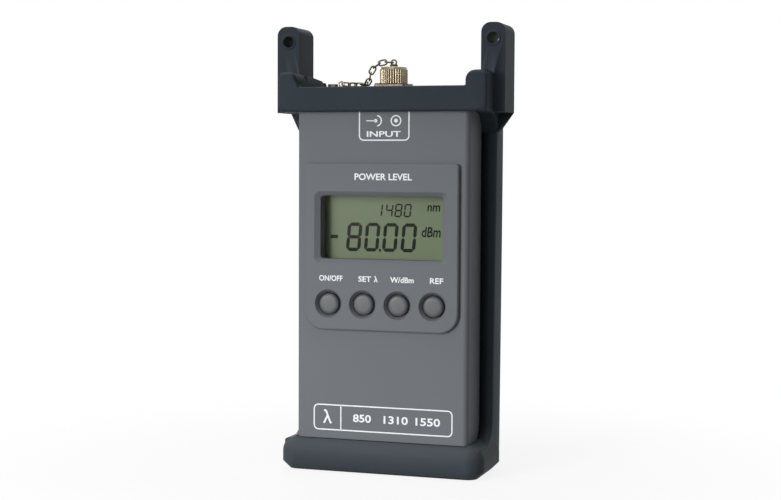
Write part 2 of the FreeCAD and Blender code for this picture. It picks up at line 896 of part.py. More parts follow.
def key_cap(name, across):
    """Bevelled key with a square flange behind the panel and a stem towards its switch."""
    inside = d.PanelRise + d.ShellWall
    stem = d.BoardDepth - d.SwitchBody - d.ShellWall - d.KeyTravel - 0.1
    cap = turned(f"{name}_cap", [
        (0.0, -inside - d.KeyFlange),
        (d.KeyRadius, -inside - d.KeyFlange),
        (d.KeyRadius, -d.KeyRecess - d.KeyBevelDeep),
        (d.KeyRadius - d.KeyBevelWide, -d.KeyRecess),
        (0.0, -d.KeyRecess),
    ])
    place(cap, across, panel_face, key_up, (1, 0, 0), 90)
    reach = d.KeyRadius + d.KeyFlangeLap
    behind = panel_face + inside
    flange = block(f"{name}_flange", (across - reach, across + reach),
                   (behind, behind + d.KeyFlange), (key_up - reach, key_up + reach))
    post = block(f"{name}_stem", (across - d.KeyStemHalf, across + d.KeyStemHalf),
                 (behind, behind + stem), (key_up - d.KeyStemHalf, key_up + d.KeyStemHalf))
    return join(name, [cap, flange, post])


def key_switches():
    """Four switches on the board, one behind each key."""
    half = d.SwitchSize / 2
    plunger = d.SwitchBody
    switches = []
    for index, across in enumerate(key_places(), start=1):
        switches.append(block(f"switch_{index}", (across - half, across + half),
                              (board_face - plunger, board_face), (key_up - half, key_up + half)))
    return group("key_switches", switches)


# ---------------------------------------------------------------- board and battery

def main_board():
    """Circuit board with a hole at each screw."""
    body = new_body("main_board")
    half = d.BoardWidth / 2
    extrude(body, "front", board_face, board_back, rectangle(-half, half, board_low, board_top))
    drill(body, "front", board_face - PAST, board_back + PAST,
          [(across, up, d.ScrewRadius) for across, up in board_screw_places()])
    return body


def microcontroller():
    body = new_body("microcontroller")
    half = d.ChipSize / 2
    extrude(body, "front", board_back, board_back + d.ChipThick, rectangle(
        -half, half, view_up - half, view_up + half, 0.6))
    return body


def amplifier_shield():
    """Screening can over the detector's amplifier."""
    body = new_body("amplifier_shield")
    half = d.ShieldWidth / 2
    high = floor + d.BoardScrewHigh - d.PostRadius
    extrude(body, "front", board_back, board_back + d.ShieldThick, rectangle(
        -half, half, high - d.ShieldHeight, high))
    return body


def battery():
    """Nine-volt block battery with its two terminals at one end."""
    low = in_back - d.BatteryThick
    body = new_body("battery")
    half = d.BatteryLong / 2
    extrude(body, "side", -half, half, rectangle(
        low, in_back, in_floor, in_floor + d.BatteryTall, 2.0))
    return body


def battery_contacts():
    """Contact plate that stands on the board and touches the battery's end."""
    body = new_body("battery_contacts")
    near = d.BatteryLong / 2
    extrude(body, "side", near, near + d.ContactThick, [
        (board_back, board_low), (board_back + 2.0, board_low),
        (board_back + 2.0, in_floor + 1.0), (in_back - 2.0, in_floor + 1.0),
        (in_back - 2.0, in_floor + d.BatteryTall), (board_back + 4.0, board_low + 6.0),
        (board_back, board_low + 6.0)])
    return body


# ---------------------------------------------------------------- optical port

def port_screw_places():
    reach = d.PortFlange / 2 - d.ScrewRadius
    return [(-reach, middle - reach), (reach, middle + reach)]


def optical_port():
    """Adapter: square flange, threaded barrel with a ferrule bore, shank below the plate."""
    body = new_body("port_flange")
    half = d.PortFlange / 2
    flange = extrude(body, "plan", plate_top, plate_top + d.PortFlangeThick, rectangle(
        -half, half, middle - half, middle + half, 1.0))
    barrel_top = plate_top + d.PortFlangeThick + d.PortHeight
    shank_low = plate_low - 2.0
    barrel = turned("port_barrel", [
        (d.PortBore, shank_low),
        (d.PortShank, shank_low),
        (d.PortShank, plate_top),
        (d.PortShank, plate_top + d.PortFlangeThick),
        (d.PortRadius, plate_top + d.PortFlangeThick),
        (d.PortRadius, barrel_top),
        (d.PortRadius - 0.9, barrel_top),
        (d.PortRadius - 0.9, barrel_top - d.PortHeight * 0.8),
        (d.PortBore + 0.8, barrel_top - d.PortHeight * 0.8),
        (d.PortBore + 0.8, barrel_top - 0.6),
        (d.PortBore, barrel_top - 0.6),
    ])
    place(barrel, 0.0, middle, 0.0)
    holes = []
    for index, (across, depth) in enumerate(port_screw_places(), start=1):
        hole = doc.addObject("Part::Cylinder", f"port_hole_{index}")
        bind(hole, "Radius", d.ScrewRadius / 2 + 0.1)
        bind(hole, "Height", d.PortFlangeThick * 3)
        place(hole, across, depth, plate_top - d.PortFlangeThick)
        holes.append(hole)
    shank_hole = doc.addObject("Part::Cylinder", "flange_bore")
    bind(shank_hole, "Radius", d.PortRadius - 0.9)
    bind(shank_hole, "Height", d.PortFlangeThick * 3)
    place(shank_hole, 0.0, middle, plate_top - d.PortFlangeThick)
    plate = remove("port_plate", body, holes + [shank_hole])
    return join("optical_port", [plate, barrel])


def knurled_outline(outer, depth):
    """Points of a straight knurl, as a star of shallow grooves."""
    points = []
    for step in range(2 * KNURLS):
        radius = outer if step % 2 == 0 else outer - depth
        angle = math.pi * step / KNURLS
        points.append((radius * math.cos(angle), radius * math.sin(angle)))
    return points


def dust_cap():
    """Screw cap: plain rims above and below a knurled band, bored from below."""
    low = plate_top + d.PortFlangeThick
    high = low + d.CapHeight
    bore = d.PortRadius + d.ThreadGap
    roof = high - d.CapRoof
    turned_cap = turned("cap_blank", [
        (d.EyePin + d.EyeGap, roof),
        (bore, roof),
        (bore, low),
        (d.CapRadius, low),
        (d.CapRadius, high - 0.7),
        (d.CapRadius - 0.7, high),
        (d.EyePin + d.EyeGap, high),
    ])
    place(turned_cap, 0.0, middle, 0.0)
    knurl = new_body("knurl")
    sketch = add_sketch(knurl, "plan", low + 1.2)
    points = knurled_outline(d.CapRadius + d.KnurlDepth, d.KnurlDepth)
    draw_outline(sketch, points)
    pad = knurl.newObject("PartDesign::Pad", "knurl_band")
    pad.Profile = sketch
    bind(pad, "Length", d.CapHeight - 2.4)
    place(knurl, 0.0, middle, 0.0)
    core = doc.addObject("Part::Cylinder", "knurl_core")
    bind(core, "Radius", d.CapRadius - 1.0)
    bind(core, "Height", d.CapHeight)
    place(core, 0.0, middle, low)
    band = remove("knurl_ring", knurl, [core])
    return join("dust_cap", [turned_cap, band])


def cap_eye():
    """Turning eye on the cap: a headed pin through the roof and a wire ring above."""
    high = plate_top + d.PortFlangeThick + d.CapHeight
    roof = high - d.CapRoof
    pin = turned("eye_pin", [
        (0.0, roof - d.EyeGap - d.EyeHeadThick),
        (d.EyeHead, roof - d.EyeGap - d.EyeHeadThick),
        (d.EyeHead, roof - d.EyeGap),
        (d.EyePin, roof - d.EyeGap),
        (d.EyePin, high + d.EyeGap),
        (d.EyeHead, high + d.EyeGap),
        (d.EyeHead, high + d.EyeGap + d.EyeHeadThick),
        (0.0, high + d.EyeGap + d.EyeHeadThick),
    ])
    place(pin, 0.0, middle, 0.0)
    return join("cap_eye", [pin, standing_ring("eye_ring", 0.0, eye_up())])


def eye_up():
    """Height of the middle of the cap's wire ring."""
    return (plate_top + d.PortFlangeThick + d.CapHeight + d.EyeGap + d.EyeHeadThick
            + d.EyeRing - d.WireRadius)


def photodetector():
    """Sensor can pressed up into the port's shank."""
    body = turned("photodetector", [
        (0.0, -d.DetectorHeight), (d.DetectorRadius, -d.DetectorHeight),
        (d.DetectorRadius, 0.0), (0.0, 0.0)])
    place(body, 0.0, middle, plate_low - 2.0)
    return body


def detector_leads():
    """Three bent leads from the sensor can to the board."""
    can_low = (plate_low - 2.0 - d.DetectorHeight).value
    depth, board = middle.value, board_back.value
    radius, bend = d.LeadRadius.value, 3.0
    leads = []
    for step in (-1, 0, 1):
        across = d.LeadPitch.value * step
        sections = [(depth, can_low, 0, 1), (depth, can_low - bend, 1, 1), (board, can_low - bend, 1, 0)]
        leads.append(wire_skin([[
            FreeCAD.Vector(across + radius * math.cos(math.pi * turn / 3),
                           spot_depth + lean_up * radius * math.sin(math.pi * turn / 3),
                           up - lean_in * radius * math.sin(math.pi * turn / 3))
            for turn in range(6)] for spot_depth, up, lean_in, lean_up in sections], False))
    item = doc.addObject("Part::Feature", "detector_leads")
    item.Shape = Part.makeCompound(leads)
    return item


# ---------------------------------------------------------------- tether chain

def wire_skin(rings, closed):
    """Solid between rings of points, each ring one section of the wire."""
    faces = []
    around = len(rings[0])
    pairs = list(zip(rings, rings[1:] + rings[:1])) if closed else list(zip(rings, rings[1:]))
    for near, far in pairs:
        for turn in range(around):
            after = (turn + 1) % around
            corners = [near[turn], near[after], far[after], far[turn], near[turn]]
            faces.append(Part.Face(Part.makePolygon(corners)))
    if not closed:
        for ring in (rings[0], rings[-1]):
            faces.append(Part.Face(Part.makePolygon(ring + ring[:1])))
    solid = Part.Solid(Part.Shell(faces))
    if solid.Volume < 0:
        solid.reverse()
    return solid


def wire_loop(length, width, radius):
    """Closed wire ring in the X-Y plane, six-sided, of straight mitred runs."""
    end = width / 2 - radius
    run = length / 2 - radius - end
    rim = []
    for hand in (1, -1):
        for step in range(4):
            angle = math.pi * (step / 3 - 0.5)
            reach = run + end * math.cos(angle) / math.cos(math.pi / 6)
            spot = FreeCAD.Vector(hand * reach, hand * end * math.sin(angle), 0)
            if not rim or (spot - rim[-1]).Length > radius / 10:
                rim.append(spot)
    if (rim[0] - rim[-1]).Length < radius / 10:
        rim.pop()
    rings = []
    for index, spot in enumerate(rim):
        before = (spot - rim[index - 1]).normalize()
        after = (rim[(index + 1) % len(rim)] - spot).normalize()
        along = (before + after).normalize()
        outward = FreeCAD.Vector(along.y, -along.x, 0)
        reach = radius / along.dot(after)
        rings.append([spot + outward * (reach * math.cos(math.pi * turn / 3))
                      + FreeCAD.Vector(0, 0, radius * math.sin(math.pi * turn / 3))
                      for turn in range(6)])
    return wire_skin(rings, True)


def standing_ring(name, across, up):
    """Round wire ring that stands in the X-Z plane."""
    ring = doc.addObject("Part::Feature", name)
    ring.Shape = wire_loop(2 * d.EyeRing.value, 2 * d.EyeRing.value, d.WireRadius.value)
    ring.Placement = FreeCAD.Placement(
        FreeCAD.Vector(as_size(across).value, middle.value, up.value),
        FreeCAD.Rotation(FreeCAD.Vector(1, 0, 0), 90))
    return ring


def chain_route():
    """Smooth line that the links follow: off the eye, down a hanging loop, along the plate."""
    lie = plate_top.value + d.LinkWidth.value / 2 + 0.1
    depth = middle.value
    eye = eye_up().value
    wire = 2 * d.WireRadius.value
    away = d.CapRadius.value + d.KnurlDepth.value + d.LinkWidth.value / 2 + 0.5
    end = anchor_ring_across().value + d.EyeRing.value - wire
    ring = anchor_ring_up().value
    sway = d.ChainSway.value
    points = [
        (wire + 0.12 - d.EyeRing.value, depth, eye),
        (-away * 0.62, depth - 0.5, eye + 0.1),
        (-away - 0.6, depth - 1.6, eye - 2.4),
        (-away - 1.4, depth - 2.2, (eye + lie) / 2 - 0.4),
        (-away - 2.4, depth - 1.6, lie + 0.5),
        (-away - 4.6, depth + 0.4, lie),
        (-away - 6.6, depth + sway, lie),
        (end + 2 * sway, depth + 1.2 * sway, lie),
        (end + sway, depth + 0.6 * sway, ring - 0.2),
        (end - 0.1, depth, ring),
    ]
    curve = Part.BSplineCurve()
    curve.interpolate([FreeCAD.Vector(*point) for point in points])
    return curve.toShape()


def tether_chain():
    """Chain of wire links, each turned a quarter from its neighbour, level at both ends."""
    route = chain_route()
    pitch = d.LinkLength.value - 4 * d.WireRadius.value - d.LinkSlack.value
    pairs = round((route.Length / pitch - 1) / 2)
    stops = route.discretize(Number=2 * pairs + 2)
    count = 2 * pairs + 1
    runs = [(stops[index + 1] - stops[index]).normalize() for index in range(count)]
    upright = FreeCAD.Vector(0, 0, 1)
    normals = [upright]
    for along in runs:
        normals.append((normals[-1] - along * normals[-1].dot(along)).normalize())
    normals.pop(0)
    level = (upright - runs[-1] * upright.dot(runs[-1])).normalize()
    twist = math.atan2(normals[-1].cross(level).dot(runs[-1]), normals[-1].dot(level))
    links = []
    for index, along in enumerate(runs):
        turn = FreeCAD.Rotation(along, math.degrees(twist) * index / (count - 1))
        normal = turn.multVec(normals[index])
        across = normal.cross(along)
        if index % 2:
            frame = FreeCAD.Rotation(along, normal, across * -1, "XYZ")
        else:
            frame = FreeCAD.Rotation(along, across, normal, "XYZ")
        link = wire_loop(d.LinkLength.value, d.LinkWidth.value, d.WireRadius.value)
        link.Placement = FreeCAD.Placement((stops[index + 1] + stops[index]) / 2, frame)
        links.append(link)
    item = doc.addObject("Part::Feature", "tether_chain")
    item.Shape = Part.makeCompound(links)
    return item


def anchor_ring_across():
    """Middle of the anchor's wire ring, clear of the screw's head."""
    return -anchor_across + d.AnchorScrewHead + d.EyeRing + 0.15


def anchor_ring_up():
    return plate_top + 0.4 + d.EyeRing


def anchor_eyelet():
    """Flat tab under the anchor screw, with a wire ring standing on it."""
    body = new_body("eyelet_tab")
    low = -anchor_across - d.AnchorScrewHead - 0.6
    high = anchor_ring_across() + 1.0
    extrude(body, "plan", plate_top, plate_top + d.EyeletThick, rectangle(
        low, high, middle - d.AnchorScrewHead, middle + d.AnchorScrewHead, 1.8))
    drill(body, "plan", plate_top - PAST, plate_top + PAST,
          [(-anchor_across, middle, d.ScrewRadius + 0.05)])
    return join("anchor_eyelet", [
        body, standing_ring("eyelet_ring", anchor_ring_across(), anchor_ring_up())])


# ---------------------------------------------------------------- screws

def screw(name, head, thick, radius, length):
    """Eight-sided screw, head up, with the head's underside at its own height 0."""
    prisms = []
    for word, reach, tall, base in (("head", head, thick, 0.0), ("shank", radius, length, -1.0)):
        prism = doc.addObject("Part::Prism", f"{name}_{word}")
        prism.Polygon = 8
        bind(prism, "Circumradius", reach)
        bind(prism, "Height", tall)
        prism.Placement.Base = FreeCAD.Vector(0, 0, base * as_size(tall).value)
        prisms.append(prism)
    return join(name, prisms)


def screws(name, places, head, thick, radius, length, turn=None):
    """Like screws in one node, each at its (across, depth, up)."""
    made = []
    for index, spot in enumerate(places, start=1):
        one = screw(f"{name}_{index}", head, thick, radius, length)
        if turn is None:
            place(one, *spot)
        else:
            place(one, *spot, (1, 0, 0), turn)
        made.append(one)
    if len(made) == 1:
        made[0].Label = name
        return made[0]
    return group(name, made)


def all_screws():
    grip = d.ScrewRadius
    seat = back - d.ScrewHead
    case = [(across, seat, up) for across, up in post_places()]
    board = [(across, board_back, up) for across, up in board_screw_places()]
    port = [(across, depth, plate_top + d.PortFlangeThick) for across, depth in port_screw_places()]
    door = [(0.0, back, door_screw_up())]
    anchor = [(-anchor_across, middle, plate_top + d.EyeletThick)]
    return [
        screws("case_screws", case, d.ScrewHead, d.HeadThick, grip, d.CaseScrewLong, -90),
        screws("board_screws", board, d.ScrewHead * 0.8, d.HeadThick, grip / 2, d.BoardScrewLong, -90),
        screws("port_screws", port, d.ScrewRadius, d.HeadThick / 2, grip / 2, d.PortScrewLong),
        screws("door_screw", door, d.ScrewHead, d.HeadThick, grip, d.DoorScrewLong, -90),
        screws("anchor_screw", anchor, d.AnchorScrewHead, d.HeadThick, grip, d.AnchorScrewLong),
    ]


def check(parts):
    """Stop if any object failed or any piece is not a sound solid."""
    for item in doc.Objects:
        if "Invalid" in item.State or "Error" in item.State:
            raise RuntimeError(f"{item.Label} failed: {item.State}")
    for item in parts:
        if item.Shape.isNull() or not item.Shape.isValid() or not item.Shape.Solids:
            raise RuntimeError(f"{item.Label} is not a sound solid")


def write(parts):
    os.makedirs("parts", exist_ok=True)
    for item in parts:
        item.Shape.exportStep(f"parts/{item.Label}.step")


def build():
    keys = [key_cap(name, across) for name, across in zip(
        ("key_power", "key_wavelength", "key_units", "key_reference"), key_places())]
    parts = [
        holster(), front_cover(), rear_cover(), battery_door(), end_plate(),
        display_window(), lcd_glass(), contact_strips(), backlight(), lcd_frame(),
        key_switches(), main_board(), microcontroller(), amplifier_shield(),
        battery(), battery_contacts(), optical_port(), dust_cap(), cap_eye(),
        photodetector(), detector_leads(), tether_chain(), anchor_eyelet(),
    ] + keys + all_screws()
    doc.recompute()
    check(parts)
    write(parts)
    for item in parts:
        print(item.Label, len(item.Shape.Solids), round(item.Shape.Volume, 1), item.Shape.BoundBox)


build()
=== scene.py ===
import json
import math
import bpy
import bmesh
from mathutils import Matrix, Vector


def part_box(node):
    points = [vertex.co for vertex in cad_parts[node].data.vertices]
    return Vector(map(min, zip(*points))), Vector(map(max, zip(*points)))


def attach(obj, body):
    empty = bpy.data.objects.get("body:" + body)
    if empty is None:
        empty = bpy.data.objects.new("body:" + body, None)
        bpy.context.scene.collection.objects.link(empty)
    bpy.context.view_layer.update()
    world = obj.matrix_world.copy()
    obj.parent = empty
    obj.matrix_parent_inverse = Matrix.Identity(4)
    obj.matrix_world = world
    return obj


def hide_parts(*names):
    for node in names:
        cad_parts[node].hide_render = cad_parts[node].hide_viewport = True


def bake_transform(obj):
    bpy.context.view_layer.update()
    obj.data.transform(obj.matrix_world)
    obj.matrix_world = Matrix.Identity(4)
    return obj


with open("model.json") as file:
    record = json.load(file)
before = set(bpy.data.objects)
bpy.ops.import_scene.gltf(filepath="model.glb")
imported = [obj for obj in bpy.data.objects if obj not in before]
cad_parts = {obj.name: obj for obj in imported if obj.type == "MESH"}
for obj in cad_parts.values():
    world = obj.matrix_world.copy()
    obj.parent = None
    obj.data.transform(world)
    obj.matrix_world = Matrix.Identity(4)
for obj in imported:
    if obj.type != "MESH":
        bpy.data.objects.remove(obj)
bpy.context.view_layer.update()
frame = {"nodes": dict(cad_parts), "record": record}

MM = 0.001
scene = bpy.context.scene
nodes = frame["nodes"]


# ---------------------------------------------------------------- places taken from the frame

def low(node):
    """Lowest corner of a CAD node, in millimetres."""
    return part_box(node)[0] / MM


def high(node):
    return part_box(node)[1] / MM


PANEL = low("front_cover").y
LCD_FACE = low("lcd_glass").y
MIDDLE = (low("dust_cap").y + high("dust_cap").y) / 2
PLATE = high("end_plate").z
PANEL_RISE = 1.8            # control panel above the shell's front
SHELL = PANEL + PANEL_RISE
SKIN = 0.02                 # print stands twice this proud, segments once
WELD = 1e-6                 # metres; closer vertices of a CAD mesh are one


# ---------------------------------------------------------------- materials

def link(tree, source, output, target, socket):
    tree.links.new(source.outputs[output], target.inputs[socket])


def painted_top_and_foot_light(tree, place, colour, shader, painted_light_colour):
    """Painted light: rubber made lighter on faces that look up (painted highlight from above) and around the
    foot (painted light towards the bottom).
    """
    facing = tree.nodes.new("ShaderNodeNewGeometry")
    parts = tree.nodes.new("ShaderNodeSeparateXYZ")
    link(tree, facing, "Normal", parts, "Vector")
    rise = tree.nodes.new("ShaderNodeMapRange")
    rise.inputs["From Min"].default_value = 0.15
    rise.inputs["From Max"].default_value = 0.95
    rise.inputs["To Max"].default_value = 0.75
    link(tree, parts, "Z", rise, "Value")
    where = tree.nodes.new("ShaderNodeSeparateXYZ")
    link(tree, place, "Object", where, "Vector")
    foot = tree.nodes.new("ShaderNodeMapRange")
    foot.interpolation_type = "SMOOTHSTEP"
    foot.inputs["From Min"].default_value = 0.050
    foot.inputs["From Max"].default_value = 0.005
    foot.inputs["To Max"].default_value = 0.45
    link(tree, where, "Z", foot, "Value")
    both = tree.nodes.new("ShaderNodeMath")
    both.operation = "ADD"
    both.use_clamp = True
    link(tree, rise, "Result", both, 0)
    link(tree, foot, "Result", both, 1)
    blend = tree.nodes.new("ShaderNodeMixRGB")
    blend.inputs["Color2"].default_value = (*painted_light_colour, 1.0)
    link(tree, both, "Value", blend, "Fac")
    link(tree, colour, "Color", blend, "Color1")
    link(tree, blend, "Color", shader, "Base Color")


def finish_of(name, base, rough, metal=0.0, second=None, patch=60.0, grain=0.0, grain_scale=2500.0,
              rough_spread=0.06, alpha=1.0, spec=0.5, edge=0.0, painted_light_colour=None):
    """Principled finish with slight colour patches, uneven roughness, a fine grain and soft edges."""
    made = bpy.data.materials.new(name)
    made.use_nodes = True
    tree = made.node_tree
    shader = tree.nodes["Principled BSDF"]
    shader.inputs["Base Color"].default_value = (*base, 1.0)
    shader.inputs["Roughness"].default_value = rough
    shader.inputs["Metallic"].default_value = metal
    shader.inputs["Alpha"].default_value = alpha
    shader.inputs["Specular IOR Level"].default_value = spec
    place = tree.nodes.new("ShaderNodeTexCoord")
    if second:
        cloud = tree.nodes.new("ShaderNodeTexNoise")
        cloud.inputs["Scale"].default_value = patch
        cloud.inputs["Detail"].default_value = 4.0
        link(tree, place, "Object", cloud, "Vector")
        ramp = tree.nodes.new("ShaderNodeValToRGB")
        ramp.color_ramp.elements[0].position = 0.3
        ramp.color_ramp.elements[0].color = (*base, 1.0)
        ramp.color_ramp.elements[1].position = 0.7
        ramp.color_ramp.elements[1].color = (*second, 1.0)
        link(tree, cloud, "Fac", ramp, "Fac")
        link(tree, ramp, "Color", shader, "Base Color")
        # painted light: faces that look up and the foot are made lighter
        if painted_light_colour:
            painted_top_and_foot_light(tree, place, ramp, shader, painted_light_colour)
        spread = tree.nodes.new("ShaderNodeMapRange")
        spread.inputs["To Min"].default_value = rough - rough_spread
        spread.inputs["To Max"].default_value = rough + rough_spread
        link(tree, cloud, "Fac", spread, "Value")
        link(tree, spread, "Result", shader, "Roughness")
    if edge:
        corner = tree.nodes.new("ShaderNodeBevel")
        corner.samples = 6
        corner.inputs["Radius"].default_value = edge * MM
        link(tree, corner, "Normal", shader, "Normal")
    if grain:
        fine = tree.nodes.new("ShaderNodeTexNoise")
        fine.inputs["Scale"].default_value = grain_scale
        fine.inputs["Detail"].default_value = 2.0
        link(tree, place, "Object", fine, "Vector")
        bump = tree.nodes.new("ShaderNodeBump")
        bump.inputs["Strength"].default_value = grain
        bump.inputs["Distance"].default_value = 0.05 * MM
        link(tree, fine, "Fac", bump, "Height")
        if edge:
            link(tree, corner, "Normal", bump, "Normal")
        link(tree, bump, "Normal", shader, "Normal")
    return made


# the rubber's last colour is painted light, laid on faces that look up and around the foot
RUBBER = finish_of("rubber", (0.021, 0.029, 0.037), 0.62, second=(0.027, 0.036, 0.045),
                   patch=45.0, grain=0.5, grain_scale=1500.0, spec=0.10, edge=0.4,
                   painted_light_colour=(0.062, 0.072, 0.082))
PLASTIC = finish_of("abs_grey", (0.124, 0.133, 0.145), 0.50, second=(0.133, 0.142, 0.154),
                    patch=30.0, grain=0.4, grain_scale=2600.0, spec=0.14, edge=0.3)
BLACK = finish_of("black_plastic", (0.014, 0.015, 0.017), 0.45, second=(0.020, 0.021, 0.023),
                  grain=0.3, spec=0.3, edge=0.2)
KEY = finish_of("key_rubber", (0.086, 0.090, 0.097), 0.34, second=(0.096, 0.100, 0.107), spec=0.22)
WINDOW = finish_of("window", (0.03, 0.035, 0.03), 0.10, second=(0.035, 0.04, 0.035), alpha=0.06, spec=0.3)
LCD = finish_of("lcd", (0.182, 0.230, 0.136), 0.45, second=(0.204, 0.250, 0.155), patch=25.0, spec=0.05)
SEGMENT = finish_of("lcd_segment", (0.010, 0.014, 0.011), 0.6, second=(0.014, 0.018, 0.014), spec=0.02)
PRINT = finish_of("white_print", (0.80, 0.82, 0.84), 0.5, second=(0.74, 0.76, 0.78), patch=600.0)
METAL = finish_of("nickel", (0.29, 0.25, 0.18), 0.30, metal=1.0, second=(0.21, 0.17, 0.11),
                  patch=900.0, rough_spread=0.08)
TARNISH = finish_of("tarnished_groove", (0.10, 0.08, 0.05), 0.45, metal=1.0, second=(0.16, 0.12, 0.07),
                    patch=1200.0)
PORT = finish_of("port_metal", (0.16, 0.14, 0.10), 0.50, metal=1.0, second=(0.11, 0.09, 0.06), patch=900.0)
CHAIN = finish_of("chain_wire", (0.13, 0.11, 0.07), 0.30, metal=1.0, second=(0.05, 0.04, 0.02),
                  patch=700.0)
STEEL = finish_of("screw_steel", (0.22, 0.22, 0.215), 0.38, metal=1.0, second=(0.17, 0.17, 0.165),
                  patch=800.0)
BOARD = finish_of("solder_mask", (0.02, 0.12, 0.05), 0.35, second=(0.03, 0.14, 0.06), patch=300.0)
TIN = finish_of("tin", (0.66, 0.66, 0.64), 0.3, metal=1.0, second=(0.56, 0.56, 0.54), patch=400.0)
WRAP = finish_of("battery_jacket", (0.05, 0.05, 0.06), 0.35, second=(0.06, 0.06, 0.07))
STRIP = finish_of("zebra_rubber", (0.28, 0.28, 0.28), 0.6, second=(0.22, 0.22, 0.22), patch=2000.0)
GUIDE = finish_of("milky_guide", (0.78, 0.80, 0.74), 0.3, second=(0.74, 0.76, 0.70))

KEYS = ("key_power", "key_wavelength", "key_units", "key_reference")
FINISHES = {
    RUBBER: ["holster"],
    PLASTIC: ["front_cover", "rear_cover", "battery_door"],
    BLACK: ["end_plate", "lcd_frame", "key_switches", "microcontroller"],
    LCD: ["lcd_glass"], STRIP: ["contact_strips"], GUIDE: ["backlight"],
    WINDOW: ["display_window"], BOARD: ["main_board"],
    TIN: ["amplifier_shield", "battery_contacts", "detector_leads", "photodetector"],
    WRAP: ["battery"], METAL: ["dust_cap"], PORT: ["optical_port"],
    CHAIN: ["tether_chain", "cap_eye", "anchor_eyelet"], KEY: list(KEYS),
    STEEL: ["case_screws", "board_screws", "port_screws", "door_screw", "anchor_screw"],
}
for finish, names in FINISHES.items():
    for name in names:
        mesh = nodes[name].data
        mesh.materials.clear()
        mesh.materials.append(finish)


# ---------------------------------------------------------------- mesh helpers

def piece(name, build, material, body="meter", smooth=None):
    """Piece from a bmesh in millimetres, on its body."""
    mesh = bpy.data.meshes.new(name)
    bmesh.ops.scale(build, vec=(MM, MM, MM), verts=build.verts)
    build.normal_update()
    build.to_mesh(mesh)
    build.free()
    mesh.materials.append(material)
    if smooth is not None:
        mesh.shade_smooth()
        mesh.set_sharp_from_angle(angle=math.radians(smooth))
    made = bpy.data.objects.new(name, mesh)
    scene.collection.objects.link(made)
    if body:
        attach(made, body)
    return made


def lathe(build, profile, matrix, steps=64, ripple=None):
    """Turn (radius, height) points about the local Z axis into build."""
    rings = []
    for index, (radius, height) in enumerate(profile):
        if radius < 1e-6:
            rings.append([build.verts.new(matrix @ Vector((0, 0, height)))])
            continue
        ring = []
        for step in range(steps):
            angle = 2 * math.pi * step / steps
            wide = radius - (ripple(index, angle) if ripple else 0.0)
            ring.append(build.verts.new(matrix @ Vector(
                (wide * math.cos(angle), wide * math.sin(angle), height))))
        rings.append(ring)
    for near, far in zip(rings, rings[1:]):
        for step in range(steps):
            after = (step + 1) % steps
            if len(near) == 1 and len(far) > 1:
                build.faces.new((near[0], far[after], far[step]))
            elif len(far) == 1 and len(near) > 1:
                build.faces.new((near[step], near[after], far[0]))
            elif len(near) > 1:
                build.faces.new((near[step], near[after], far[after], far[step]))


def at(across, depth, up, facing="up"):
    """Place for a turned shape whose axis points up, to the front or to the back."""
    turn = {"up": Matrix.Identity(4), "front": Matrix.Rotation(math.pi / 2, 4, "X"),
            "back": Matrix.Rotation(-math.pi / 2, 4, "X")}[facing]
    return Matrix.Translation((across, depth, up)) @ turn


def arc(across, up, radius, start, end, steps=8):
    """Points on an arc, angles in degrees."""
    return [(across + radius * math.cos(math.radians(start + (end - start) * step / steps)),
             up + radius * math.sin(math.radians(start + (end - start) * step / steps)))
            for step in range(steps + 1)]


def flat(build, outline, near, far):
    """Flat shape of (across, up) points, from depth near to depth far."""
    front = [build.verts.new((x, near, z)) for x, z in outline]
    back = [build.verts.new((x, far, z)) for x, z in outline]
    build.faces.new(front)
    build.faces.new(list(reversed(back)))
    for index in range(len(outline)):
        after = (index + 1) % len(outline)
        build.faces.new((front[after], front[index], back[index], back[after]))


def stroke(build, path, width, near, far, closed=False):
    """Printed line of one width along (across, up) points."""
    count = len(path)
    left, right = [], []
    for index, (x, z) in enumerate(path):
        before = path[index - 1] if index or closed else path[index]
        after = path[(index + 1) % count] if index < count - 1 or closed else path[index]
        first = Vector((x - before[0], z - before[1]))
        second = Vector((after[0] - x, after[1] - z))
        first = first.normalized() if first.length else second.normalized()
        second = second.normalized() if second.length else first
        along = (first + second).normalized()
        reach = width / 2 / max(along.dot(second), 0.5)
        left.append((x - along.y * reach, z + along.x * reach))
        right.append((x + along.y * reach, z - along.x * reach))
    if closed:
        left.append(left[0])
        right.append(right[0])
    rings = [[build.verts.new((one[0], near, one[1])), build.verts.new((other[0], near, other[1])),
              build.verts.new((other[0], far, other[1])), build.verts.new((one[0], far, one[1]))]
             for one, other in zip(left, right)]
    for a, b in zip(rings, rings[1:]):
        for k in range(4):
            build.faces.new((a[k], a[(k + 1) % 4], b[(k + 1) % 4], b[k]))
    if not closed:
        build.faces.new(reversed(rings[0]))
        build.faces.new(rings[-1])


def lettering(name, text, box, face, material, slant=0.0, weight=0.0):
    """Printed words that fill (left, low, right, high) on a face, as thin solid letters."""
    curve = bpy.data.curves.new(name, "FONT")
    curve.body = text
    curve.offset = weight
    curve.shear = slant
    curve.resolution_u = 3
    curve.extrude = 0.5
    source = bpy.data.objects.new(name + "_source", curve)
    scene.collection.objects.link(source)
    bpy.context.view_layer.update()
    mesh = bpy.data.meshes.new_from_object(source.evaluated_get(bpy.context.evaluated_depsgraph_get()))
    bpy.data.objects.remove(source)
    build = bmesh.new()
    build.from_mesh(mesh)
    bpy.data.meshes.remove(mesh)
    spans = [(min(v.co[k] for v in build.verts), max(v.co[k] for v in build.verts)) for k in range(3)]
    left, bottom, right, top = box
    for vert in build.verts:
        share = [(vert.co[k] - spans[k][0]) / (spans[k][1] - spans[k][0]) for k in range(3)]
        vert.co = (left + share[0] * (right - left), face - share[2] * 2 * SKIN,
                   bottom + share[1] * (top - bottom))
    bmesh.ops.recalc_face_normals(build, faces=build.faces)
    return piece(name, build, material)


# ---------------------------------------------------------------- rubber boot

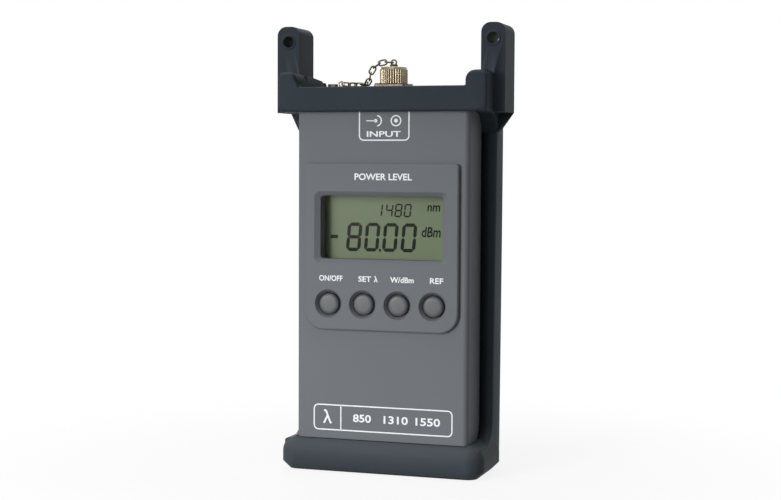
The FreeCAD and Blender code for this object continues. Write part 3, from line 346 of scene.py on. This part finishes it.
SHELL_SIDE = high("front_cover").x
RAIL_LOW = high("front_cover").z - 9.6
WALL_EDGE = SHELL + 18.0
ELBOW = 8.0
SHARP = 25                  # degrees; sharper corners stay sharp
EAR_LOW = RAIL_LOW - ELBOW - 0.3


def cutter_from(build):
    """Closed solid in millimetres that a boolean takes out of a copy."""
    bmesh.ops.scale(build, vec=(MM, MM, MM), verts=build.verts)
    bmesh.ops.recalc_face_normals(build, faces=build.faces)
    mesh = bpy.data.meshes.new("cutter")
    build.to_mesh(mesh)
    build.free()
    made = bpy.data.objects.new("cutter", mesh)
    scene.collection.objects.link(made)
    return made


def side_prism(outline, near, far):
    """Block of a (depth, up) outline between two distances across."""
    build = bmesh.new()
    ends = [[build.verts.new((across, depth, up)) for depth, up in outline] for across in (near, far)]
    build.faces.new(ends[0])
    build.faces.new(list(reversed(ends[1])))
    for index in range(len(outline)):
        after = (index + 1) % len(outline)
        build.faces.new((ends[0][after], ends[0][index], ends[1][index], ends[1][after]))
    return cutter_from(build)


def even_shading(item, degrees):
    """Smooth the rounded edges and keep the large faces flat."""
    item.data.shade_smooth()
    item.data.set_sharp_from_angle(angle=math.radians(degrees))
    even = item.modifiers.new("even", "WEIGHTED_NORMAL")
    even.keep_sharp = True
    even.weight = 100


def carved(node, name, cutters):
    """Copy of a CAD node's mesh with cutters taken out, which stands in for the node."""
    mesh = nodes[node].data.copy()
    build = bmesh.new()
    build.from_mesh(mesh)
    bmesh.ops.remove_doubles(build, verts=build.verts, dist=WELD)
    build.to_mesh(mesh)
    build.free()
    made = bpy.data.objects.new(name, mesh)
    scene.collection.objects.link(made)
    for cutter in cutters:
        cut = made.modifiers.new("cut", "BOOLEAN")
        cut.operation = "DIFFERENCE"
        cut.solver = "EXACT"
        cut.object = cutter
    bpy.context.view_layer.update()
    trimmed = bpy.data.meshes.new_from_object(made.evaluated_get(bpy.context.evaluated_depsgraph_get()))
    made.modifiers.clear()
    made.data = trimmed
    for cutter in cutters:
        bpy.data.objects.remove(cutter)
    even_shading(made, SHARP)
    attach(made, "meter")
    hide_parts(node)
    return made


def boot_cutters():
    """What the ears' lower tapers have too much of, in front of the walls' curved elbow."""
    before = WALL_EDGE - 13.0
    elbow = [(before, EAR_LOW), (WALL_EDGE - 0.05, EAR_LOW)]
    elbow += arc(WALL_EDGE - ELBOW, RAIL_LOW - ELBOW, ELBOW - 0.05, 0, 90, 12)
    elbow += [(before, RAIL_LOW - 0.05)]
    slant = [(before, EAR_LOW), (WALL_EDGE, EAR_LOW), (WALL_EDGE + 5.2, RAIL_LOW - 0.05),
             (before, RAIL_LOW - 0.05)]
    return [side_prism(outline, inner * hand, (SHELL_SIDE + 14.0) * hand)
            for hand in (-1, 1)
            for outline, inner in ((elbow, SHELL_SIDE - 1.0), (slant, SHELL_SIDE + 6.25))]


carved("holster", "boot_skin", boot_cutters())
for name in ("front_cover", "rear_cover", "battery_door", "end_plate"):
    even_shading(nodes[name], SHARP)

for word in ("left", "right"):
    build = bmesh.new()
    mounts = frame["record"]["mounts"]
    spot = next(mount["pos_m"] for mount in mounts if mount["name"] == f"strap_hole_{word}")
    lip = [(2.25, -1.2), (2.25, 0.05), (2.4, 0.22), (2.65, 0.28), (2.95, 0.2), (3.1, -0.05), (3.1, -1.2)]
    lathe(build, lip, at(spot[0] / MM, SHELL + 8.0, spot[2] / MM, "front"), 48)
    bmesh.ops.recalc_face_normals(build, faces=build.faces)
    piece(f"strap_rim_{word}", build, RUBBER, smooth=50)


# ---------------------------------------------------------------- printed legends

def key_middle(name):
    return (low(name).x + high(name).x) / 2


KEY_UP = (low("key_power").z + high("key_power").z) / 2
legend_low, legend_high = KEY_UP + 9.2, KEY_UP + 11.5


def lambda_mark(build, left, bottom, tall, width, near, far):
    """Greek letter of a curved long leg and a short leg."""
    foot = tall * 0.60
    long_leg = [(left + tall * 0.02, bottom + tall * 0.97), (left + tall * 0.12, bottom + tall),
                (left + tall * 0.20, bottom + tall * 0.92), (left + foot * 0.85, bottom + tall * 0.12),
                (left + foot, bottom)]
    stroke(build, long_leg, width, near, far)
    stroke(build, [(left + tall * 0.31, bottom + tall * 0.60), (left, bottom)], width, near - SKIN / 2, far)


for key, text, shift, half in (("key_power", "ON/OFF", 1.1, 5.0), ("key_units", "W/dBm", 1.9, 4.9),
                               ("key_reference", "REF", 1.6, 2.75), ("key_wavelength", "SET", 0.9, 2.7)):
    middle = key_middle(key) + shift
    lettering(f"legend_{key[4:]}", text, (middle - half, legend_low, middle + half, legend_high),
              PANEL, PRINT, weight=0.02)
build = bmesh.new()
lambda_mark(build, key_middle("key_wavelength") + 4.9, legend_low, legend_high - legend_low, 0.42,
            PANEL - 2 * SKIN, PANEL)
piece("legend_lambda", build, PRINT)
lettering("legend_power_level", "POWER LEVEL", (-10.9, 117.7, 13.1, 120.4), PANEL, PRINT, weight=0.02)

build = bmesh.new()
frame_low, frame_high, frame_half, frame_round, frame_shift = 16.6, 26.7, 29.1, 1.8, 0.6
corner_x = frame_half - frame_round
corner_low, corner_high = frame_low + frame_round, frame_high - frame_round
loop = (arc(corner_x, corner_low, frame_round, -90, 0) + arc(corner_x, corner_high, frame_round, 0, 90)
        + arc(-corner_x, corner_high, frame_round, 90, 180)
        + arc(-corner_x, corner_low, frame_round, 180, 270))
loop = [(across + frame_shift, up) for across, up in loop]
stroke(build, loop, 0.5, SHELL - 2 * SKIN, SHELL, closed=True)
divide = -17.0
stroke(build, [(divide, frame_low), (divide, frame_high)], 0.5, SHELL - 2 * SKIN, SHELL)
lambda_mark(build, -24.3, 19.2, 5.2, 0.75, SHELL - 2 * SKIN, SHELL)
piece("print_lower_frame", build, PRINT)
for text, left in (("850", -11.8), ("1310", 1.2), ("1550", 14.6)):
    lettering(f"print_{text}", text, (left, 20.2, left + 2.55 * len(text), 23.4), SHELL, PRINT, weight=0.02)

build = bmesh.new()
hood_left, hood_right, hood_low, hood_round = -9.5, 11.2, 133.6, 1.8
hood_top = low("holster").z + 146.0
loop = ([(hood_left, hood_top)] + arc(hood_left + hood_round, hood_low + hood_round, hood_round, 180, 270)
        + arc(hood_right - hood_round, hood_low + hood_round, hood_round, 270, 360)
        + [(hood_right, hood_top)])
stroke(build, loop, 0.5, SHELL - 2 * SKIN, SHELL)
stroke(build, [(-6.6, 141.3), (-2.6, 141.3)], 0.4, SHELL - 2 * SKIN, SHELL)
stroke(build, arc(-2.4, 141.3, 2.1, -80, 80, 12), 0.5, SHELL - 2 * SKIN, SHELL)
flat(build, arc(-2.7, 141.3, 0.75, 0, 360, 16)[:-1], SHELL - 2 * SKIN, SHELL)
piece("print_input_mark", build, PRINT)
lettering("print_input", "INPUT", (-6.4, 134.9, 7.8, 137.2), SHELL, PRINT, weight=0.02)
build = bmesh.new()
stroke(build, arc(5.8, 141.3, 2.0, 0, 360, 24)[:-1], 0.5, SHELL - 2 * SKIN, SHELL, closed=True)
flat(build, arc(5.8, 141.3, 0.8, 0, 360, 16)[:-1], SHELL - 2 * SKIN, SHELL)
piece("print_ferrule_mark", build, PRINT)


# ---------------------------------------------------------------- display

SEGMENTS = {"0": "abcdef", "1": "bc", "4": "bcfg", "8": "abcdefg", "-": "g"}


def digit(build, symbol, left, bottom, wide, tall, bar, slant, near):
    """Seven-segment digit of mitred bars."""
    gap = bar * 0.04
    half = bar / 2
    inner = wide - bar
    rows = {"a": tall - half, "g": tall / 2, "d": half}
    for name in SEGMENTS[symbol]:
        if name in rows:
            up = rows[name]
            points = [(half + gap, up), (half + gap + half, up + half),
                      (half + inner - gap - half, up + half), (half + inner - gap, up),
                      (half + inner - gap - half, up - half),
                      (half + gap + half, up - half)]
        else:
            x = half if name in "fe" else half + inner
            start, end = (tall / 2, tall - half) if name in "fb" else (half, tall / 2)
            points = [(x, start + gap), (x + half, start + gap + half), (x + half, end - gap - half),
                      (x, end - gap), (x - half, end - gap - half), (x - half, start + gap + half)]
            points.reverse()
        flat(build, [(left + x + slant * z, bottom + z) for x, z in reversed(points)], near, near + SKIN)


face = LCD_FACE - 2 * SKIN
build = bmesh.new()
for index, left in enumerate((-16.9, -9.2, -1.5, 6.3)):
    digit(build, "8000"[index], left - 0.3, 88.9, 6.2, 11.6, 1.4, 0.09, face)
flat(build, [(x, z) for x, z in ((-3.0, 88.9), (-2.1, 88.9), (-2.1, 90.0), (-3.0, 90.0))], face, face + SKIN)
flat(build, [(-23.8, 94.0), (-20.6, 94.0), (-20.5, 95.4), (-23.7, 95.4)], face, face + SKIN)
for index, left in enumerate((-4.9, -0.5, 3.35, 7.2)):
    digit(build, "1480"[index], left, 102.9, 3.1, 5.4, 0.66, 0.12, face)
bmesh.ops.recalc_face_normals(build, faces=build.faces)
piece("lcd_reading", build, SEGMENT)
lettering("lcd_nanometres", "nm", (17.2, 105.4, 22.6, 107.9), LCD_FACE, SEGMENT, slant=0.12, weight=0.02)
lettering("lcd_decibels", "dBm", (14.9, 95.1, 22.9, 99.2), LCD_FACE, SEGMENT, slant=0.12, weight=0.02)

window_low, window_high = low("display_window"), high("display_window")
build = bmesh.new()
window_round = 0.5
left, right = window_low.x + window_round, window_high.x - window_round
bottom, top = window_low.z + window_round, window_high.z - window_round
flat(build, arc(right, bottom, window_round, -90, 0, 3) + arc(right, top, window_round, 0, 90, 3)
     + arc(left, top, window_round, 90, 180, 3) + arc(left, bottom, window_round, 180, 270, 3),
     window_low.y, LCD_FACE - 0.2)
bmesh.ops.recalc_face_normals(build, faces=build.faces)
pane = piece("window_pane", build, WINDOW)
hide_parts("display_window")


# ---------------------------------------------------------------- keys

for name in KEYS:
    start, end = low(name), high(name)
    middle = (start.x + end.x) / 2
    radius = 4.3
    build = bmesh.new()
    dome = [(radius - 1.35 + 1.35 * math.cos(math.radians(turn)),
             1.0 + 1.35 * math.sin(math.radians(turn)) - 2.35) for turn in range(0, 76, 15)]
    crown_radius, crown_up = dome[-1]
    crown = [(crown_radius * (1 - step / 6), crown_up + (0 - crown_up) * (1 - (1 - step / 6) ** 2))
             for step in range(1, 7)]
    flange = PANEL + 3.8 - start.y
    stem = end.y - start.y
    profile = [(0.0, -stem), (1.6, -stem), (1.6, -flange - 1.0), (5.5, -flange - 1.0), (5.5, -flange + 0.1),
               (radius, -flange + 0.1)] + dome + crown
    lathe(build, profile, at(middle, start.y, KEY_UP, "front"), 72)
    bmesh.ops.recalc_face_normals(build, faces=build.faces)
    made = piece(f"{name}_dome", build, KEY, name, smooth=35)
    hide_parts(name)


# ---------------------------------------------------------------- screw recesses and port thread

def heads(name):
    """Box of each separate screw in a node, as (lowest, highest) in millimetres."""
    build = bmesh.new()
    build.from_mesh(nodes[name].data)
    bmesh.ops.remove_doubles(build, verts=build.verts, dist=WELD)
    left, boxes = set(build.verts), []
    while left:
        island, front = set(), [left.pop()]
        while front:
            vert = front.pop()
            island.add(vert)
            for edge in vert.link_edges:
                other = edge.other_vert(vert)
                if other in left:
                    left.remove(other)
                    front.append(other)
        spots = [nodes[name].matrix_world @ vert.co / MM for vert in island]
        boxes.append((Vector([min(spot[k] for spot in spots) for k in range(3)]),
                      Vector([max(spot[k] for spot in spots) for k in range(3)])))
    build.free()
    return boxes


RECESS_REACH = 0.30         # half a recess arm's length, as a share of the head
RECESS_THIN = 0.3           # its width, as a share of its length
RECESS_DEEP = 0.6
for name, facing in (("door_screw", "back"), ("anchor_screw", "up"), ("port_screws", "up")):
    cutters = []
    for start, end in heads(name):
        middle = (start + end) / 2
        spot = at(middle.x, middle.y, end.z) if facing == "up" else at(middle.x, end.y, middle.z, "back")
        reach = RECESS_REACH * (end.x - start.x)
        for long, wide in ((reach, reach * RECESS_THIN), (reach * RECESS_THIN, reach)):
            build = bmesh.new()
            arm = Matrix.Diagonal((long, wide, RECESS_DEEP, 1.0))
            bmesh.ops.create_cube(build, size=2.0, matrix=spot @ arm)
            cutters.append(cutter_from(build))
    carved(name, f"{name}_cut", cutters)

thread_low, thread_high = low("dust_cap").z + 0.4, high("optical_port").z - 0.3
port = nodes["optical_port"]
port_spots = [(port.matrix_world @ vert.co) / MM for vert in port.data.vertices]
barrel = max(math.hypot(spot.x, spot.y - MIDDLE) for spot in port_spots if spot.z > thread_low + 0.5)
pitch, groove, groove_half, past = 0.75, 0.32, 0.34, 0.1
section = ((barrel - groove, 0.0), (barrel + past, -groove_half), (barrel + past, groove_half))
per_turn = 48
build = bmesh.new()
rings = []
for step in range(int((thread_high - thread_low - pitch) / pitch * per_turn)):
    angle = 2 * math.pi * step / per_turn
    up = thread_low + pitch / 2 + pitch * step / per_turn
    rings.append([build.verts.new((radius * math.cos(angle), MIDDLE + radius * math.sin(angle), up + rise))
                  for radius, rise in section])
for near, far in zip(rings, rings[1:]):
    for index in range(3):
        after = (index + 1) % 3
        build.faces.new((near[index], near[after], far[after], far[index]))
build.faces.new(rings[0])
build.faces.new(list(reversed(rings[-1])))
carved("optical_port", "optical_port_cut", [cutter_from(build)])


# ---------------------------------------------------------------- cap, eye and chain

def knurl(count, depth, band):
    """Ripple that cuts grooves into the band's profile points."""
    def ripple(index, angle):
        share = abs(math.sin(count * angle / 2))
        return depth * (1 - share ** 0.7) if index in band else 0.0
    return ripple


cap_low, cap_high = low("dust_cap"), high("dust_cap")
cap_radius, cap_tall = 5.5, cap_high.z - cap_low.z
bore, outer, knurls = 4.06, 5.65, 32
build = bmesh.new()
profile = [(bore, 0.0), (4.9, 0.0), (5.3, 0.15), (outer, 0.45), (outer, 0.6), (outer, cap_tall - 1.5),
           (outer, cap_tall - 1.35), (5.45, cap_tall - 1.1), (5.35, cap_tall - 0.6), (5.1, cap_tall - 0.25),
           (4.7, cap_tall - 0.15), (3.9, cap_tall - 0.15), (3.6, cap_tall - 0.35), (1.1, cap_tall - 0.35),
           (1.05, cap_tall - 1.3), (bore, cap_tall - 1.4)]
lathe(build, profile + profile[:1], at(0.0, MIDDLE, cap_low.z), 8 * knurls, knurl(knurls, 0.45, range(3, 7)))
bmesh.ops.remove_doubles(build, verts=build.verts, dist=1e-5)
bmesh.ops.recalc_face_normals(build, faces=build.faces)
for face in build.faces:
    spot = face.calc_center_median()
    reach = math.hypot(spot.x, spot.y - MIDDLE)
    if bore + 0.5 < reach < outer - 0.2 and 0.4 < spot.z - cap_low.z < cap_tall - 1.2:
        face.material_index = 1
cap = piece("cap_knurled", build, METAL, "dust_cap", smooth=40)
cap.data.materials.append(TARNISH)
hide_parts("dust_cap")


def ring_tube(build, path, radius, sides=10):
    """Round wire along a closed path of points."""
    count = len(path)
    rings = []
    normal = None
    for index, spot in enumerate(path):
        along = (path[(index + 1) % count] - path[index - 1]).normalized()
        if normal is None:
            normal = along.orthogonal().normalized()
        normal = (normal - along * normal.dot(along)).normalized()
        side = along.cross(normal)
        rings.append([build.verts.new(spot + (normal * math.cos(2 * math.pi * turn / sides)
                                              + side * math.sin(2 * math.pi * turn / sides)) * radius)
                      for turn in range(sides)])
    for index in range(count):
        near, far = rings[index], rings[(index + 1) % count]
        for turn in range(sides):
            after = (turn + 1) % sides
            build.faces.new((near[turn], near[after], far[after], far[turn]))


def oval(length, width, radius, steps=10):
    """Middle line of a link's wire."""
    end = width / 2 - radius
    run = length / 2 - width / 2
    line = []
    for hand in (1, -1):
        for step in range(steps + 1):
            angle = math.pi * (step / steps - 0.5)
            line.append(Vector((hand * (run + end * math.cos(angle)), hand * end * math.sin(angle), 0)))
    return line


wire = 0.34
eye_low, eye_high = low("cap_eye"), high("cap_eye")
eye_radius = 1.4
eye_up = eye_high.z - eye_radius
build = bmesh.new()
standing = Matrix.Translation((0.0, MIDDLE, eye_up)) @ Matrix.Rotation(math.pi / 2, 4, "X")
wire_middle = eye_radius - wire
circle = [standing @ Vector((wire_middle * math.cos(2 * math.pi * step / 32),
                             wire_middle * math.sin(2 * math.pi * step / 32), 0)) for step in range(32)]
ring_tube(build, circle, wire)
pin_top = eye_up - eye_radius + 2 * wire
pin = [(0.0, eye_low.z), (1.6, eye_low.z), (1.6, cap_high.z - 1.6), (0.95, cap_high.z - 1.5),
       (0.95, cap_high.z + 0.1), (1.7, cap_high.z + 0.1), (1.75, cap_high.z + 0.3), (1.5, pin_top - 0.05),
       (0.9, pin_top + 0.1), (0.0, pin_top + 0.15)]
lathe(build, pin, at(0.0, MIDDLE, 0.0), 32)
bmesh.ops.recalc_face_normals(build, faces=build.faces)
eye = piece("cap_eye_ring", build, CHAIN, "cap_eye", smooth=35)
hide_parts("cap_eye")

screw_across = (low("anchor_screw").x + high("anchor_screw").x) / 2
anchor_across = screw_across + 2.2 + eye_radius + 0.15
anchor_up = PLATE + 0.4 + eye_radius
last = Vector((anchor_across + eye_radius - 2 * wire, MIDDLE, anchor_up))
away = cap_radius + 0.3 + 1.5 + 0.5
lie = PLATE + 1.6
sway = 2.9
knots = [Vector((2 * wire + 0.12 - eye_radius, MIDDLE, eye_up)),
         Vector((-away * 0.62, MIDDLE - 0.5, eye_up + 0.1)),
         Vector((-away - 0.6, MIDDLE - 1.6, eye_up - 2.4)),
         Vector((-away - 1.4, MIDDLE - 2.2, (eye_up + lie) / 2 - 0.4)),
         Vector((-away - 2.4, MIDDLE - 1.6, lie + 0.5)),
         Vector((-away - 4.6, MIDDLE + 0.4, lie)),
         Vector((-away - 6.6, MIDDLE + sway, lie)),
         Vector((last.x + 2 * sway, MIDDLE + 1.2 * sway, lie)),
         Vector((last.x + sway, MIDDLE + 0.6 * sway, anchor_up - 0.2)),
         last - Vector((0.1, 0.0, 0.0))]


def smooth_line(points, steps=24):
    """Catmull-Rom line through the points."""
    padded = [points[0] * 2 - points[1]] + points + [points[-1] * 2 - points[-2]]
    line = []
    for a, b, c, e in zip(padded, padded[1:], padded[2:], padded[3:]):
        for step in range(steps):
            t = step / steps
            line.append((b * 2 + (c - a) * t + (a * 2 - b * 5 + c * 4 - e) * t * t
                         + (b * 3 - a - c * 3 + e) * t ** 3) / 2)
    return line + [points[-1]]


def spaced(line, count):
    """Points at even distances along a line."""
    reach = [0.0]
    for a, b in zip(line, line[1:]):
        reach.append(reach[-1] + (b - a).length)
    spots, index = [], 0
    for step in range(count):
        want = reach[-1] * step / (count - 1)
        while index < len(line) - 2 and reach[index + 1] < want:
            index += 1
        share = (want - reach[index]) / (reach[index + 1] - reach[index])
        spots.append(line[index].lerp(line[index + 1], share))
    return spots, reach[-1]


LINKS = 11
stops, length = spaced(smooth_line(knots), LINKS + 1)
link_long = length / LINKS + 4 * wire + 0.1
build = bmesh.new()
normal = Vector((0, 0, 1))
for index in range(LINKS):
    along = (stops[index + 1] - stops[index]).normalized()
    normal = (normal - along * normal.dot(along)).normalized()
    across = normal.cross(along)
    flip = (normal, -across) if index % 2 else (across, normal)
    turn = Matrix((along, flip[0], flip[1])).transposed().to_4x4()
    spot = Matrix.Translation((stops[index] + stops[index + 1]) / 2)
    ring_tube(build, [spot @ turn @ point for point in oval(link_long, 2.7, wire)], wire * 0.97, 8)
bmesh.ops.recalc_face_normals(build, faces=build.faces)
links = piece("chain_links", build, CHAIN, body=None, smooth=60)
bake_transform(links)
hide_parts("tether_chain")


# ---------------------------------------------------------------- camera, light and floor

camera_data = bpy.data.cameras.new("camera")
camera = bpy.data.objects.new("camera", camera_data)
scene.collection.objects.link(camera)
RIGHT = Vector((0.95003, 0.31212, 0.00484))
UPWARD = Vector((-0.02160, 0.05025, 0.99850))
AHEAD = Vector((-0.31141, 0.94871, -0.05448))
turn = Matrix((RIGHT, UPWARD, -AHEAD)).transposed().to_4x4()
camera.matrix_world = Matrix.Translation((0.1981, -0.6055, 0.1240)) @ turn
camera_data.lens = 72.3
camera_data.sensor_width = 36.0
camera_data.clip_start = 0.01
camera_data.clip_end = 50.0
scene.camera = camera


def lamp(name, place, target, size, power, colour=(1.0, 1.0, 1.0)):
    data = bpy.data.lights.new(name, "AREA")
    data.shape = "DISK"
    data.size = size
    data.energy = power
    data.color = colour
    made = bpy.data.objects.new(name, data)
    scene.collection.objects.link(made)
    made.location = place
    made.rotation_euler = (Vector(target) - Vector(place)).to_track_quat("-Z", "Y").to_euler()
    return made


lamp("key_lamp", (-0.5, -1.0, 0.40), (0, 0, 0.08), 0.8, 7.7)
lamp("top_lamp", (-0.1, -0.2, 1.1), (0, 0, 0.1), 0.7, 4.0)
lamp("edge_lamp", (0.9, 0.45, 0.5), (0, 0, 0.1), 0.3, 0.55, (1.0, 0.80, 0.44))
lamp("back_lamp", (-0.45, 1.05, 0.45), (0, 0, 0.09), 0.8, 5.5)
low_lamp = lamp("low_lamp", (-0.35, -0.8, 0.12), (0, 0, 0.0), 0.1, 17.0)
low_lamp.data.type = "SPOT"
low_lamp.data.spot_size = math.radians(24)
low_lamp.data.spot_blend = 1.0
low_lamp.data.shadow_soft_size = 0.12


def seen_rays(tree):
    """Socket that is 1 for what the camera, a reflection or a clear pane sees, 0 for light."""
    rays = tree.nodes.new("ShaderNodeLightPath")
    seen = tree.nodes.new("ShaderNodeMath")
    seen.operation = "ADD"
    link(tree, rays, "Is Camera Ray", seen, 0)
    link(tree, rays, "Is Glossy Ray", seen, 1)
    also = tree.nodes.new("ShaderNodeMath")
    also.operation = "ADD"
    also.use_clamp = True
    link(tree, seen, "Value", also, 0)
    link(tree, rays, "Is Transmission Ray", also, 1)
    return also


world = bpy.data.worlds.new("studio")
scene.world = world
world.use_nodes = True
tree = world.node_tree
sky = tree.nodes["Background"]
sky.inputs["Color"].default_value = (1.0, 1.0, 1.0, 1.0)
level = tree.nodes.new("ShaderNodeMapRange")
level.inputs["To Min"].default_value = 0.08
level.inputs["To Max"].default_value = 1.0
link(tree, seen_rays(tree), "Value", level, "Value")
link(tree, level, "Result", sky, "Strength")

build = bmesh.new()
bmesh.ops.create_grid(build, x_segments=1, y_segments=1, size=3000.0)
paper = finish_of("paper", (0.92, 0.92, 0.92), 0.8, second=(0.90, 0.90, 0.90), spec=0.1)
floor = piece("floor", build, paper, body=None)
floor.location = (0, 0, -0.0002)
tree = paper.node_tree
glow = tree.nodes.new("ShaderNodeEmission")
glow.inputs["Strength"].default_value = 1.0
place = tree.nodes.new("ShaderNodeTexCoord")
away_from = tree.nodes.new("ShaderNodeVectorMath")
away_from.operation = "LENGTH"
link(tree, place, "Object", away_from, 0)
fade = tree.nodes.new("ShaderNodeMapRange")
fade.interpolation_type = "SMOOTHSTEP"
fade.inputs["From Min"].default_value = 0.06
fade.inputs["From Max"].default_value = 0.22
fade.inputs["To Min"].default_value = 0.86
link(tree, away_from, "Value", fade, "Value")
mix = tree.nodes.new("ShaderNodeMixShader")
link(tree, fade, "Result", mix, "Fac")
tree.links.new(tree.nodes["Principled BSDF"].outputs["BSDF"], mix.inputs[1])
tree.links.new(glow.outputs["Emission"], mix.inputs[2])
bounce = tree.nodes.new("ShaderNodeBsdfDiffuse")
bounce.inputs["Color"].default_value = (0.55, 0.55, 0.55, 1.0)
either = tree.nodes.new("ShaderNodeMixShader")
link(tree, seen_rays(tree), "Value", either, "Fac")
tree.links.new(bounce.outputs["BSDF"], either.inputs[1])
tree.links.new(mix.outputs["Shader"], either.inputs[2])
link(tree, either, "Shader", tree.nodes["Material Output"], "Surface")

scene.view_settings.view_transform = "Standard"
